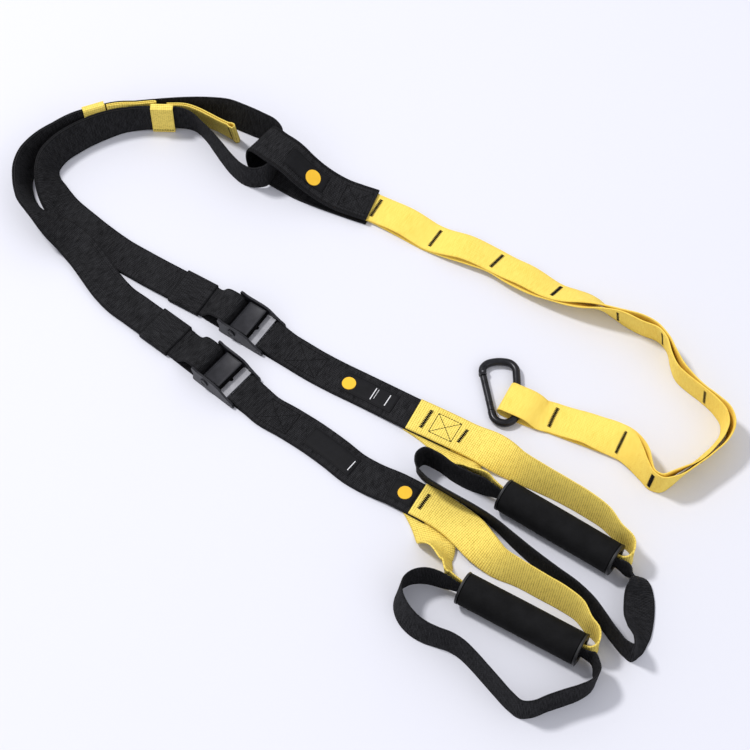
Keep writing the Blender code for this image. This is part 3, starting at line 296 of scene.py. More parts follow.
def hardFinish(name, dark, light, rough, metal, grain, bump, gloss):
    # painted, anodised or moulded surface with a fine grain and faint handling marks
    finish = Finish(name, rough, metal, gloss)
    spot = finish.place()
    speck = finish.noise(spot, grain, 2.0, 0.6)
    cloud = finish.noise(spot, *marks["cloud"])
    color = finish.blend((speck * 0.5 + cloud * 0.5).between(*marks["span"]), dark, light)
    rough = rough + (cloud - 0.5) * marks["cloudRough"] + (speck - 0.5) * marks["speckRough"]
    return finish.paint(color, rough, speck, marks["depth"], bump)


gripFoam = foamFinish()
hardLooks = {    # dark and light colour, roughness, metallic, grains per metre, bump and gloss
    "buckleMetal": ((0.009, 0.009, 0.012), (0.022, 0.022, 0.028), 0.40, 0.4, 1800.0, 0.3, 0.5),
    "plateMetal": ((0.26, 0.26, 0.28), (0.40, 0.40, 0.43), 0.42, 0.4, 1500.0, 0.2, 0.5),
    "pinSteel": ((0.20, 0.20, 0.22), (0.38, 0.38, 0.41), 0.30, 0.95, 1500.0, 0.1, 0.5),
    "rodAnodised": ((0.008, 0.008, 0.010), (0.020, 0.020, 0.024), 0.30, 0.55, 1600.0, 0.12, 0.5),
    "capPlastic": ((0.006, 0.006, 0.007), (0.016, 0.016, 0.018), 0.48, 0.0, 1200.0, 0.3, 0.5),
    "labelRubber": ((0.0035, 0.0035, 0.0045), (0.010, 0.010, 0.012), 0.62, 0.0, 2200.0, 0.4, 0.15),
    "discYellow": ((0.86, 0.49, 0.034), (0.94, 0.57, 0.048), 0.55, 0.0, 1800.0, 0.2, 0.15),
    "blackThread": ((0.0018, 0.0018, 0.002), (0.008, 0.008, 0.009), 0.7, 0.0, 2600.0, 0.5, 0.1),
    "palePrint": ((0.62, 0.62, 0.64), (0.80, 0.80, 0.82), 0.6, 0.0, 2600.0, 0.2, 0.2),
}
hard = {name: hardFinish(name, *look) for name, look in hardLooks.items()}
print("materials: webbing, foam, metal, plastic and thread")

# Strap tools: a strap is a row of stations, each a place, an across direction and a width share

webbing = {
    "width": 0.038, "thick": 0.0016, "anchorWidth": 0.036, "gap": 0.0003, "loose": 0.0005, "runGap": 0.0008,
    "gather": 0.54, "step": 0.0045, "bend": 7.0, "twist": 2.5, "bevel": 0.32,
}
layer = webbing["thick"] + webbing["gap"]
half = webbing["width"] / 2


def slopesAt(rows, places):
    # length of each run between stations, and the slope at each station from the runs on both sides
    gaps = np.linalg.norm(np.diff(rows[:, :places], axis=0), axis=1)[:, None]
    slopes = np.diff(rows, axis=0) / gaps
    middle = (slopes[:-1] * gaps[1:] + slopes[1:] * gaps[:-1]) / (gaps[:-1] + gaps[1:])
    return gaps[:, 0], np.vstack([slopes[:1], middle, slopes[-1:]])


def smoothRun(rows):
    # Hermite curve through the stations, sampled finely enough for every bend and twist
    rows = np.asarray(rows, float)
    gaps, tangents = slopesAt(rows, 3)

    def turnBetween(first, second):
        first, second = first / np.linalg.norm(first), second / np.linalg.norm(second)
        return math.degrees(math.acos(max(-1.0, min(1.0, float(first @ second)))))

    out = []
    for i, gap in enumerate(gaps):
        bend = turnBetween(tangents[i, :3], tangents[i + 1, :3])
        twist = turnBetween(rows[i, 3:6], rows[i + 1, 3:6])
        count = max(1, math.ceil(gap / webbing["step"]), math.ceil(bend / webbing["bend"]),
                    math.ceil(twist / webbing["twist"]))
        for k in range(count):
            t = k / count
            out.append((2 * t**3 - 3 * t**2 + 1) * rows[i] + (t**3 - 2 * t**2 + t) * gap * tangents[i]
                       + (3 * t**2 - 2 * t**3) * rows[i + 1] + (t**3 - t**2) * gap * tangents[i + 1])
    out.append(rows[-1])
    return np.array(out)


def headingFrame(spot, height=0.0):
    # a frame at a place in metres, turned to its heading
    x, y, heading = spot
    move = Matrix.Translation(Vector(floorShift) + Vector((x, y, height)))
    return move @ Matrix.Rotation(math.radians(heading), 4, "Z")


def layDown(route, width=webbing["width"], thick=webbing["thick"]):
    # stations on the floor, from x and y in millimetres, lean in degrees and lift in layers
    rows = np.array([(*spot, 0, 0)[:4] for spot in route], float)
    plan = rows[:, :2] / 1000 + np.array(floorShift[:2])
    heading = slopesAt(plan, 2)[1]
    heading /= np.linalg.norm(heading, axis=1)[:, None]
    lean = np.radians(rows[:, 2])
    height = (rows[:, 3] * layer + thick / 2 * np.abs(np.cos(lean)) + width / 2 * np.abs(np.sin(lean))
              + floorShift[2])
    across = np.stack([-heading[:, 1] * np.cos(lean), heading[:, 0] * np.cos(lean), np.sin(lean)], 1)
    return np.hstack([plan, height[:, None], across, np.ones((len(rows), 1))])


def localRows(where, points, across=(0, 1, 0), gather=1.0):
    # stations at points of a local frame
    side = np.array(where.to_3x3() @ Vector(across))
    return np.array([[*(where @ Vector(p)), *side, gather] for p in points])


def framesOf(rows):
    # directions along the strap, across it and out of its face at each station
    tangent = np.gradient(rows[:, :3], axis=0)
    tangent /= np.linalg.norm(tangent, axis=1)[:, None]
    across = rows[:, 3:6] - tangent * np.sum(tangent * rows[:, 3:6], axis=1)[:, None]
    across /= np.linalg.norm(across, axis=1)[:, None]
    return tangent, across, np.cross(tangent, across)


def moved(rows, distance):
    # the same strap, moved along its face direction
    _, across, face = framesOf(rows)
    out = rows.copy()
    out[:, :3] += face * np.asarray(distance).reshape(-1, 1)
    out[:, 3:6] = across
    return out


def settled(rows, width=webbing["width"], thick=webbing["thick"]):
    # the same strap, lifted where it would lie under the floor
    _, across, face = framesOf(rows)
    low = rows[:, 2] - width / 2 * np.abs(across[:, 2]) * rows[:, 6] - thick / 2 * np.abs(face[:, 2])
    out = rows.copy()
    out[:, 2] += np.maximum(0.0, floorShift[2] - low)
    return out


def lengthsOf(rows):
    return np.concatenate([[0.0], np.cumsum(np.linalg.norm(np.diff(rows[:, :3], axis=0), axis=1))])


def between(rows, start, end):
    # the piece of a strap from one length along it to another
    along = lengthsOf(rows)
    places = np.array([start, *[t for t in along if start < t < end], end])
    return np.stack([np.interp(places, along, rows[:, i]) for i in range(rows.shape[1])], 1)


def nearest(rows, spot):
    # the station that lies closest, seen from above, to a spot in millimetres
    place = np.array(spot[:2]) / 1000 + np.array(floorShift[:2])
    return int(np.argmin(np.linalg.norm(rows[:, :2] - place, axis=1)))


def closest(rows, row):
    # the station that lies closest in space to another one
    return int(np.argmin(np.linalg.norm(rows[:, :3] - row[:3], axis=1)))


def arc(x, z, radius, start, end, steps):
    angles = np.radians(np.linspace(start, end, steps + 1))
    return [(x + radius * math.cos(t), z + radius * math.sin(t)) for t in angles]


def sideView(points):
    # points of a side view, set on the middle line
    return [(x, 0, z) for x, z in points]


def addPiece(name, bm, finish, body="straps", smooth=None, replaces=()):
    piece = linked(name, meshFrom(name, bm))
    piece.data.materials.append(finish)
    if smooth:
        piece.data.shade_smooth()
        piece.data.set_sharp_from_angle(angle=math.radians(smooth))
    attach(piece, body)
    if replaces:
        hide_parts(*replaces)
    return piece


def roundEdges(piece, width, segments=2, angle=50.0):
    edge = piece.modifiers.new("edges", "BEVEL")
    edge.width = width
    edge.segments = segments
    edge.limit_method = "ANGLE"
    edge.angle_limit = math.radians(angle)
    edge.use_clamp_overlap = True


def thicken(piece, name, thick, bevel):
    # gives a face its thickness, half to each side
    skin = piece.modifiers.new(name, "SOLIDIFY")
    skin.thickness = thick
    skin.offset = 0.0
    roundEdges(piece, bevel)


class Strap:
    # stations with lengths along them, so that stitches and labels can be placed on a strap
    def __init__(self, rows, width=webbing["width"], thick=webbing["thick"]):
        self.rows, self.width, self.thick = rows, width, thick
        self.tangent, self.across, self.face = framesOf(rows)
        self.along = lengthsOf(rows)
        self.length = self.along[-1]

    def at(self, along, across, rise):
        # matrix on the strap: X along it, Y across it, Z out of the face that rise points to
        pick = [np.array([np.interp(along, self.along, v[:, i]) for i in range(3)])
                for v in (self.tangent, self.across, self.face, self.rows)]
        x, y, way = Vector(pick[0]).normalized(), Vector(pick[1]).normalized(), 1 if rise > 0 else -1
        z = x.cross(y) * way
        turn = Matrix((x, y * way, z)).transposed().to_4x4()
        return Matrix.Translation(Vector(pick[3]) + y * across + z * abs(rise)) @ turn


def layGrid(bm, strap, lanes):
    # a flat grid laid over a strap's stations; gives each vertex's place along and across it
    count, places = len(strap.rows), {}
    bmesh.ops.create_grid(bm, x_segments=count - 1, y_segments=lanes, size=1.0)
    for vert in bm.verts:
        i, t = round((vert.co.x + 1.0) / 2.0 * (count - 1)), vert.co.y
        wide = strap.width / 2 * strap.rows[i, 6]
        vert.co = Vector(strap.rows[i, :3] + strap.across[i] * t * wide)
        places[vert] = (strap.along[i], t * strap.width / 2)
    return places


def ribbon(name, strap, finish, node, lanes=6, body="straps"):
    # one strap, with its lengths along and across as UVs
    bm = bmesh.new()
    uvLayer = bm.loops.layers.uv.new("strapPlace")
    places = layGrid(bm, strap, lanes)
    for item in bm.faces:
        for loop in item.loops:
            loop[uvLayer].uv = places[loop.vert]
    piece = addPiece(name, bm, finish, body, 40, (node,))
    thicken(piece, "webbing", strap.thick, strap.thick * webbing["bevel"])
    return piece


stitching = {"length": 0.0026, "radius": 0.00038, "pitch": 0.0032, "flatness": 0.8, "batch": 24,
             "tack": {"length": 0.0052, "pitch": 0.0010, "radius": 0.00054}, "tackSlant": 0.0014,
             "tackTurns": (-0.12, 0.18), "box": {"length": 0.0033, "radius": 0.00048}}


class Thread:
    # gathers single stitches, each a small stretched ball, into one piece
    def __init__(self):
        self.bm = bmesh.new()
        self.batch = bmesh.new()    # a few stitches at a time, because a large bmesh slows every operator
        self.waiting = 0

    def stitch(self, place, length, radius):
        shape = place @ Matrix.Diagonal((length / 2, radius, radius * stitching["flatness"], 1.0))
        bmesh.ops.create_uvsphere(self.batch, u_segments=6, v_segments=4, radius=1.0,
                                  matrix=shape @ Matrix.Rotation(math.pi / 2, 4, "Y"))
        self.waiting += 1
        if self.waiting >= stitching["batch"]:
            self.gather()

    def gather(self):
        mesh = bpy.data.meshes.new("stitchBatch")
        self.batch.to_mesh(mesh)
        self.bm.from_mesh(mesh)
        self.batch.clear()
        bpy.data.meshes.remove(mesh)
        self.waiting = 0

    def line(self, strap, points, rise, pitch=stitching["pitch"], length=stitching["length"],
             radius=stitching["radius"]):
        for (s0, t0), (s1, t1) in zip(points, points[1:]):
            run = math.hypot(s1 - s0, t1 - t0)
            count = max(1, round(run / pitch))
            turn = math.atan2(t1 - t0, s1 - s0)
            for k in range(count):
                share = (k + 0.5) / count
                spot = strap.at(s0 + (s1 - s0) * share, t0 + (t1 - t0) * share, rise)
                angle = turn if rise > 0 else -turn
                self.stitch(spot @ Matrix.Rotation(angle, 4, "Z"), length, radius)

    def tack(self, strap, along, low, high, rise, length=stitching["tack"]["length"]):
        # a bar tack: close threads lying along the strap, side by side across it
        look = stitching["tack"]
        count = max(2, round((high - low) / look["pitch"]))
        for k in range(count):
            spot = strap.at(along + stitching["tackSlant"] * (k / count - 0.5),
                            low + (high - low) * (k + 0.5) / count, rise)
            turn = Matrix.Rotation(stitching["tackTurns"][k % 2], 4, "Z")
            self.stitch(spot @ turn, length, look["radius"])

    def crossBox(self, strap, start, end, reach, rise):
        # a box with a cross in it
        for points in ([(start, -reach), (end, -reach), (end, reach), (start, reach), (start, -reach)],
                       [(start, -reach), (end, reach)], [(end, -reach), (start, reach)]):
            self.line(strap, points, rise, **stitching["box"])

    def finish(self, name, material, body="straps"):
        self.gather()
        self.batch.free()
        return addPiece(name, self.bm, material, body, 60)


sleeveLook = {"length": 0.025, "wall": 0.0014, "tilt": 0.001, "spots": {1: (-237, 321), 2: (-311, 318)}}
padLook = {"width": 0.043, "thick": 0.0024, "turn": 0.0115, "seam": 0.0185}

# What a strap passes over lifts it, in layers of webbing
sleeveLift = (sleeveLook["wall"] + webbing["runGap"]) / layer
tiltedLift = sleeveLift + sleeveLook["tilt"] / layer
loopLift = (padLook["thick"] + 2 * webbing["gap"]) / layer
sewnLift = (padLook["thick"] + webbing["gap"]) / layer

# Routes: x and y in millimetres, lean in degrees (0 lies flat, 90 stands on its right edge), lift in
# layers. Lean and lift are 0 where they aren't given. The equalizer's third value is the share of its height.
routes = {
    "legOne": [
        (-256, 137, 0, 0.4), (-276, 150.5), (-301, 170.5), (-326, 193), (-343, 209.5, 6), (-355, 226.5, 26),
        (-362, 244, 50), (-362, 261, 64), (-352.5, 278, 71), (-333, 295, 73), (-305, 311, 78),
        (-276, 320.5, 86), (-258, 321.1, 88, sleeveLift), (-237, 321, 90, sleeveLift),
        (-218, 320, 90, sleeveLift), (-204, 316.5, 95), (-190.5, 303, 95), (-180.5, 289.5, 91),
        (-170, 274, 88), (-157.5, 256.5, 88), (-145, 244, 90, 0.2),
    ],
    "neck": [
        (-132, 238.5, 93, 0.9), (-120.5, 240.5, 90, loopLift), (-113.5, 250, 90, loopLift),
        (-109, 262.5, 90, loopLift), (-104.5, 275.5, 90, loopLift), (-103, 289, 92, loopLift),
        (-111, 301, 98, 0.9), (-127, 311, 104, 0.2),
    ],
    "legTwo": [
        (-147, 321.5, 106), (-164, 329.5, 104), (-185, 333, 100), (-213, 334, 96), (-240, 332.5, 94),
        (-268, 329, 95), (-290, 324.5, 98, tiltedLift), (-312, 317.5, 101, tiltedLift),
        (-335, 308, 105, tiltedLift), (-354, 297.5, 108), (-373, 282, 110), (-385, 265, 111),
        (-389.5, 247, 112), (-388, 229, 114, 0.2), (-381.5, 209, 119, 1.8), (-367.5, 189, 130, 5.4),
        (-349.5, 176, 155, 3.8), (-331, 164.5, 174, 2.6), (-316, 148.5, 184, 1.7), (-302, 128.5, 187, 0.8),
        (-287, 107, 184, 0.5), (-272, 90.5, 180, 0.7),
    ],
    "anchor": [
        (30, 192, 0, 0.25), (59, 173.5), (80, 162, -6), (104, 151, -11), (128, 139.5, -14), (152, 122, -16),
        (175, 107, -20), (194, 96, -28), (211, 88, -34), (230, 79.5, -46), (247, 69.5, -66), (264, 60, -80),
        (284, 50, -82), (299, 41, -82), (308.5, 27, -82), (313, 9, -84), (318, -6, -86), (328, -19.5, -86),
        (340.5, -33, -86), (353, -46, -88), (362, -60, -92), (362.5, -75, -98), (355, -89, -104),
        (343, -101, -108), (330, -112, -110), (315, -122.5, -108), (301, -132, -100), (290, -137, -92),
        (281, -133, -86), (275, -121, -80), (269, -107, -68), (260, -93.5, -50), (245, -81, -26),
        (227, -71, -4), (206, -62), (185, -53),
    ],
    "lowerOne": [
        (-88.5, 27.5), (-61.5, 9), (-40, -4), (-16.5, -17), (9, -31.5, 0, 0.3), (34.5, -46.5, 0, 1),
        (60, -60.5, 0, 1), (74, -68, 0, 1.1), (86, -74.5, 0, 1.2),
    ],
    "lowerTwo": [
        (-115, -41.5), (-89.5, -58.5), (-66.5, -74.5), (-41.5, -94.5), (-21, -112.5), (-2, -124.5, 0, 0.2),
        (22, -136.5, 0, 0.8), (40, -147, 0, 1), (59, -158.5, 0, 1),
    ],
    "runOne": [
        (40, -50, 0, 3), (60, -60.5, 0, 3.1), (80, -71.5, 0, 3.3), (98, -82, 0, 3.9), (114, -93, 12, 4.4),
        (129, -104.5, 36, 2.2), (145, -116.5, 57), (170, -132.5, 69), (194, -147.5, 74), (215, -162, 76),
        (232, -176.5, 80), (243, -192, 86),
    ],
    "backOne": [
        (100, -124, 70), (93, -114.5, 42), (87, -103.5, 10), (80, -90), (71, -77), (57, -63), (40, -50),
    ],
    "runTwo": [
        (43, -148.5, 0, 3), (59, -158, 0, 3), (75, -170, 0, 3.6), (92, -188, 13, 4), (107, -208, 38, 2.2),
        (122, -224, 58, 0.2), (141, -236, 70), (165, -251.5, 74), (186, -265, 76), (201, -278, 80),
        (208.5, -292, 86),
    ],
    "backTwo": [
        (70.5, -229, 72), (66.5, -215, 60), (63, -203, 34), (60, -192.5, 6), (57.5, -182), (53, -169),
        (48, -158), (43, -148.5),
    ],
    "cradleOne": [
        (258.5, -242, 122), (261, -256, 143), (260, -272, 147), (258, -287, 142), (256, -301, 126),
        (254.5, -314, 106), (250, -322, 94), (243.5, -318, 90), (235, -307, 90), (225, -291, 91),
        (213.5, -272.5, 91), (199, -256, 90), (179, -239.5, 90), (156, -219, 88), (138, -201.5, 86),
        (121.5, -184.5, 82), (103.5, -169, 77), (85, -155, 72), (68, -144, 72), (53, -133.5, 74),
        (43.5, -122.5, 80), (42.5, -112.5, 88), (49, -106.5, 90), (63, -112, 90), (80, -125.5, 90),
        (96, -135, 90),
    ],
    "cradleTwo": [
        (213, -336, 86), (214.5, -346.5, 86), (208, -356, 89), (197, -362.5, 92), (182, -368, 94),
        (165, -374, 94), (150, -380, 94), (139, -380, 95), (130, -372.5, 96), (117, -357, 97),
        (105, -342, 97), (94, -328.5, 97), (84, -318, 97), (73, -310.5, 97), (60, -305.5, 98),
        (47, -299.5, 101), (35.5, -290.5, 104), (26.5, -278, 105), (22.5, -264, 102), (25.5, -250, 97),
        (35.5, -242, 93), (49, -240, 90),
    ],
    "tailOne": [
        (-232, 326.8, 90), (-210, 327, 94), (-195, 323, 100), (-182, 316.5, 103), (-170, 309, 103),
        (-161, 303.5, 102),
    ],
    "equalizer": [
        (-2.5, 210, 0), (-19, 216.5, 0), (-37, 224, 0.02), (-52, 230.5, 0.16), (-66, 237, 0.38),
        (-79, 243.5, 0.66), (-90, 250.5, 0.9), (-99, 256.5, 1), (-109, 264, 1), (-119, 272.5, 1),
    ],
}

# Main strap: load layer from buckle to buckle through the equalizer loop, and the layers turned back

buckleSpots = {1: (-0.13, 0.056, -34.5), 2: (-0.155, -0.0065, -40.5)}    # x, y and heading
buckle = {"length": 0.058, "baseEnd": 0.0082, "axleAt": -0.012, "barAt": 0.0215, "barRadius": 0.0025,
          "baseThick": 0.002, "jawAt": -0.0165, "humpLength": 0.040, "humpHeight": 0.020,
          "drop": 0.020}    # drop: how far from the bar a folded end comes down
keeperLook = {"length": 0.038, "wall": 0.0012, "travel": 0.025, "from": {1: 0.0595, 2: 0.0695},
              "turn": {1: 3.5, 2: 1.5}}
humpShape = [(0.0, 0.0), (0.035, 0.02), (0.09, 0.16), (0.135, 0.45), (0.20, 0.80), (0.31, 0.97), (0.46, 1.0),
             (0.62, 0.95), (0.74, 0.74), (0.82, 0.44), (0.92, 0.16)]
loadHeight = webbing["thick"] / 2
returnHeight = 1.5 * webbing["thick"] + 2 * webbing["gap"] + buckle["baseThick"]
turnRadius = (returnHeight - loadHeight) / 2


def legEnd(where):
    # the load layer reaches the buckle's front edge, turns round it and comes back over a hump
    across = (0, -1, 0)
    load = localRows(where, [(buckle["baseEnd"], 0, loadHeight), (-buckle["length"] / 3, 0, loadHeight),
                             (buckle["jawAt"] - buckle["humpLength"] * 0.75, 0, loadHeight)], across)
    turn = sideView(arc(buckle["baseEnd"], (loadHeight + returnHeight) / 2, turnRadius, -90, 90, 6))
    low = layer + loadHeight
    hump = [(buckle["baseEnd"] / 2, 0, returnHeight), (buckle["axleAt"], 0, returnHeight)]
    for share, rise in humpShape:
        base = returnHeight + (low - returnHeight) * share
        hump.append((buckle["jawAt"] - buckle["humpLength"] * share, 0,
                     base + (buckle["humpHeight"] - returnHeight) * rise))
    return load, localRows(where, turn[1:] + hump, across)


def keeperRows(number):
    # where a keeper sits, and the stations that keep the straps straight under it
    where = buckleFrames[number] @ Matrix.Translation((-keeperLook["from"][number], 0, 0))
    where = where @ Matrix.Rotation(math.radians(keeperLook["turn"][number]), 4, "Z")
    where = where @ Matrix.Translation((-keeperLook["length"] / 2, 0, 0))
    height = keeperLook["wall"] + webbing["gap"] + webbing["thick"] / 2
    reach = keeperLook["length"] / 2 + webbing["gap"]
    return where, localRows(where, [(reach, 0, height), (-reach, 0, height),
                                    (-reach - keeperLook["travel"], 0, height)], (0, -1, 0))


buckleFrames = {number: headingFrame(spot) for number, spot in buckleSpots.items()}
loadOne, turnOne = legEnd(buckleFrames[1])
loadTwo, turnTwo = legEnd(buckleFrames[2])
keeperOne, heldOne = keeperRows(1)
keeperTwo, heldTwo = keeperRows(2)
legOne = np.vstack([loadOne, heldOne, layDown(routes["legOne"])])
neck = layDown(routes["legOne"][-1:] + routes["neck"] + routes["legTwo"][:1])[1:-1]
legTwo = np.vstack([layDown(routes["legTwo"]), heldTwo[::-1], loadTwo[::-1]])
load = settled(smoothRun(np.vstack([legOne, neck, legTwo])))
middle = closest(load, neck[4])
sleeveAt = {1: nearest(load[:middle], sleeveLook["spots"][1]),
            2: middle + nearest(load[middle:], sleeveLook["spots"][2])}
apartLayers = layer + webbing["loose"]
backOne = moved(load, apartLayers)[closest(load, heldOne[0]):sleeveAt[1] + 1]
backTwo = moved(load, -apartLayers)[sleeveAt[2]:closest(load, heldTwo[0]) + 1]
endOne = smoothRun(np.vstack([loadOne[:1], turnOne, backOne[:1]]))[1:-1]
endTwo = smoothRun(np.vstack([loadTwo[:1], turnTwo, backTwo[-1:]]))[1:-1]
mainRows = np.vstack([backOne[::-1], endOne[::-1], load, endTwo, backTwo[::-1]])
mainStrap = Strap(mainRows)
ribbon("mainStrap", mainStrap, blackWebbing, "main_strap", 4)
loadStrap = Strap(load)
print(f"main strap: {mainStrap.length:.3f} m in {len(mainRows)} stations")


def bandRound(name, where, wide, deep, length, wall, finish, node, body="straps"):
    # a band of webbing round both layers; its own length runs round them
    path = []
    for y, z, start in ((wide, deep, 0), (-wide, deep, 90), (-wide, -deep, 180), (wide, -deep, 270)):
        corner = y - math.copysign(wall, y), z - math.copysign(wall, z)
        path += [(0, *spot) for spot in arc(*corner, wall, start, start + 90, 4)]
    strap = Strap(localRows(where, path + path[:1], (1, 0, 0)), length, wall)
    mesh = ribbon(name, strap, finish, node, 6, body).data
    bm = bmesh.new()
    bm.from_mesh(mesh)
    bmesh.ops.remove_doubles(bm, verts=bm.verts, dist=0.0002)
    bm.to_mesh(mesh)
    bm.free()
    return strap


wideInside = half + webbing["runGap"]
deepInside = webbing["thick"] + (webbing["gap"] + webbing["loose"]) / 2 + webbing["runGap"] + webbing["gap"]
sleeves = {}
for number, side in ((1, 1), (2, -1)):
    index = sleeveAt[number]
    tangent, across, face = (v[index] for v in (loadStrap.tangent, loadStrap.across, loadStrap.face))
    turn = Matrix((tangent, across, face)).transposed().to_4x4()
    centre = load[index, :3] + face * side * apartLayers / 2
    wall = sleeveLook["wall"]
    sleeves[number] = bandRound(f"adjusterSleeve{number}", Matrix.Translation(centre) @ turn,
                                wideInside + wall / 2, deepInside + wall / 2, sleeveLook["length"], wall,
                                handleWebbing, f"adjuster_sleeve_{number}")
keeperInside = 2 * webbing["thick"] + 2 * webbing["gap"] + webbing["loose"] + webbing["runGap"]
for number, where in ((1, keeperOne), (2, keeperTwo)):
    wall = keeperLook["wall"]
    lifted = where @ Matrix.Translation((0, 0, wall + keeperInside / 2))
    bandRound(f"keeperBand{number}", lifted, wideInside + wall / 2, keeperInside / 2 + wall / 2,
              keeperLook["length"], wall, blackWebbing, f"keeper_{number}", f"keeper_{number}")

tailLook = {"frontLoop": 0.0028, "rearLength": 0.054,
            "curl": ((1.2, 0.9), (2.2, 1.0), (3.0, 0.0), (2.2, -1.0), (1.2, -0.9))}


def foldedTail(name, rows, loop, node):
    # a short tail folded on itself, its two layers joined by a loop
    tangent, across, face = (v[-1] for v in framesOf(rows))
    near, far = moved(rows, apartLayers / 2), moved(rows, -apartLayers / 2)
    bulge = [[*(rows[-1, :3] + tangent * loop * along + face * side * loop), *across, 1.0]
             for along, side in tailLook["curl"]]
    strap = Strap(settled(np.vstack([near, bulge, far[::-1]])))
    ribbon(name, strap, handleWebbing, node, 6)
    return strap


pairThick = apartLayers + webbing["thick"]
pairSize = webbing["width"], pairThick
tailRows = settled(smoothRun(layDown(routes["tailOne"], *pairSize)), *pairSize)
tailOne = foldedTail("adjusterTail1", tailRows, tailLook["frontLoop"], "adjuster_tail_1")
alongRear = between(load[middle:sleeveAt[2] + 1][::-1], sleeveLook["length"] / 2 + 2 * webbing["runGap"],
                    sleeveLook["length"] / 2 + tailLook["rearLength"])
alongRear = moved(alongRear, webbing["thick"] / 2 + webbing["gap"] + pairThick / 2)
foldedTail("adjusterTail2", alongRear, layer / 2, "adjuster_tail_2")
print("adjusters and keepers")

# Anchor strap: two layers tacked together every few inches, looped round the carabiner's spine

carabiner = {"rod": 0.0042, "long": 0.082, "wide": 0.045, "gateRadius": 0.0037, "tongue": 0.003, "pin": 0.001,
             "play": 0.0003, "spine": (0.1485, -0.024), "rim": 0.0005, "edge": 0.0006,
             "grooves": (0.16, 0.20, 0.24, 0.78, 0.82, 0.86),
             "grooveShape": ((-0.0006, 0.0), (-0.0003, 0.00035), (0.0003, 0.00035), (0.0006, 0.0))}
anchorLook = {"gape": 0.0045, "open": 0.0245, "fold": (0.14, -0.033, -27.5), "sewnWithin": 0.08,
              "settle": ((0.0054, 0.82), (0.0126, 0.42)), "tackReach": 0.0125,
              "tacks": (0.004, 0.0797, 0.153, 0.228, 0.302, 0.3557, 0.436, 0.5375, 0.592, 0.6458, 0.7225)}
spineTurn = carabiner["rod"] + webbing["gap"] + webbing["thick"] / 2
sewn = np.array(routes["equalizer"])
inside = [(x, y, 0, sewnLift) for x, y in sewn[[2, 1, 0], :2]]
centre = settled(smoothRun(layDown(inside + routes["anchor"], webbing["anchorWidth"], pairThick)),
                 webbing["anchorWidth"], pairThick)
along = lengthsOf(centre)
sewnLength = along[nearest(centre[along < anchorLook["sewnWithin"]], sewn[0])]
tackSpots = np.array(anchorLook["tacks"])
pockets = np.sin(math.pi * np.interp(along - sewnLength, tackSpots, np.arange(len(tackSpots)))) ** 2
upright = np.abs(centre[:, 5])
gape = anchorLook["gape"] * pockets
apart = (layer + webbing["loose"] * upright) / 2
lower = settled(moved(centre, -(apart + gape / 2 * upright)), webbing["anchorWidth"])
upper = settled(moved(centre, apart + gape * (1 - upright / 2)), webbing["anchorWidth"])
foldFrame = headingFrame(anchorLook["fold"])
high = loadHeight + 2 * spineTurn
turn = [(-x, 0, z) for x, z in arc(0, loadHeight + spineTurn, spineTurn, -90, 90, 7)]
loop = [(anchorLook["open"], 0, loadHeight), (spineTurn / 2, 0, loadHeight), *turn, (spineTurn / 2, 0, high),
        (anchorLook["open"], 0, high)]
loop += [(anchorLook["open"] + beyond, 0, high * share) for beyond, share in anchorLook["settle"]]
joined = smoothRun(np.vstack([lower[-2:], localRows(foldFrame, loop, (0, -1, 0)), upper[:-3:-1]]))
joined = joined[closest(joined, lower[-1]):closest(joined, upper[-1]) + 1]
anchorStrap = Strap(np.vstack([lower[:-1], joined, upper[-2::-1]]), webbing["anchorWidth"])
ribbon("anchorStrap", anchorStrap, anchorWebbing, "anchor_strap", 4)
print(f"anchor strap: {anchorStrap.length:.3f} m")

# Equalizer: a padded loop that the main strap runs through

topSewn = 1.5 * padLook["thick"] + 2 * webbing["thick"] + 3 * webbing["gap"] + 2 * webbing["loose"]
topArch = 1.5 * padLook["thick"] + 4 * webbing["gap"] + webbing["width"]
padBase = layDown([spot[:2] for spot in routes["equalizer"]], padLook["width"], padLook["thick"])
padTop = padBase.copy()
padTop[:, 2] = floorShift[2] + topSewn + (topArch - topSewn) * sewn[:, 2]
tip = padBase[-1, :2] - np.array(floorShift[:2])
tipHeading = math.degrees(math.atan2(*(padBase[-1, :2] - padBase[-2, :2])[::-1]))
tipFrame = headingFrame((*tip, tipHeading))
lowArc = arc(0, padLook["thick"] / 2 + padLook["turn"], padLook["turn"], -90, 0, 3)
highArc = arc(0, topArch - padLook["turn"], padLook["turn"], 0, 90, 3)
cheek = localRows(tipFrame, sideView(lowArc[1:] + highArc[:-1]))
padRows = settled(smoothRun(np.vstack([padBase, cheek, padTop[::-1]])), padLook["width"], padLook["thick"])
padStrap = Strap(padRows, padLook["width"], padLook["thick"])
ribbon("equalizerPad", padStrap, blackWebbing, "equalizer_loop", 8)
print("equalizer loop")

# Lower straps, folded round the buckles' bars


def lowerStrap(number, route):
    where = buckleFrames[number]
    barTurn = buckle["barRadius"] + webbing["gap"] + webbing["thick"] / 2
    barHeight = webbing["thick"] + webbing["gap"] + buckle["barRadius"]
    reach, level, drop = buckle["barAt"] + barTurn, barHeight + barTurn, buckle["drop"]
    start = localRows(where, [(buckle["barAt"], 0, loadHeight), (reach + drop, 0, loadHeight)])
    base = settled(smoothRun(np.vstack([start, layDown(route)])))
    top = moved(base, layer)[closest(base, start[1]):]
    turn = sideView(arc(buckle["barAt"], barHeight, barTurn, 270, 90, 7))
    fold = turn[1:] + [(buckle["barAt"] + buckle["barRadius"], 0, level),
                       (reach + drop / 2, 0, (level + layer + loadHeight) / 2)]
    bend = smoothRun(np.vstack([start[:1], localRows(where, fold), top[:1]]))[1:-1]
    strap = Strap(np.vstack([base[::-1], bend, top]))
    ribbon(f"lowerStrap{number}", strap, blackWebbing, f"lower_strap_{number}")
    return Strap(top)


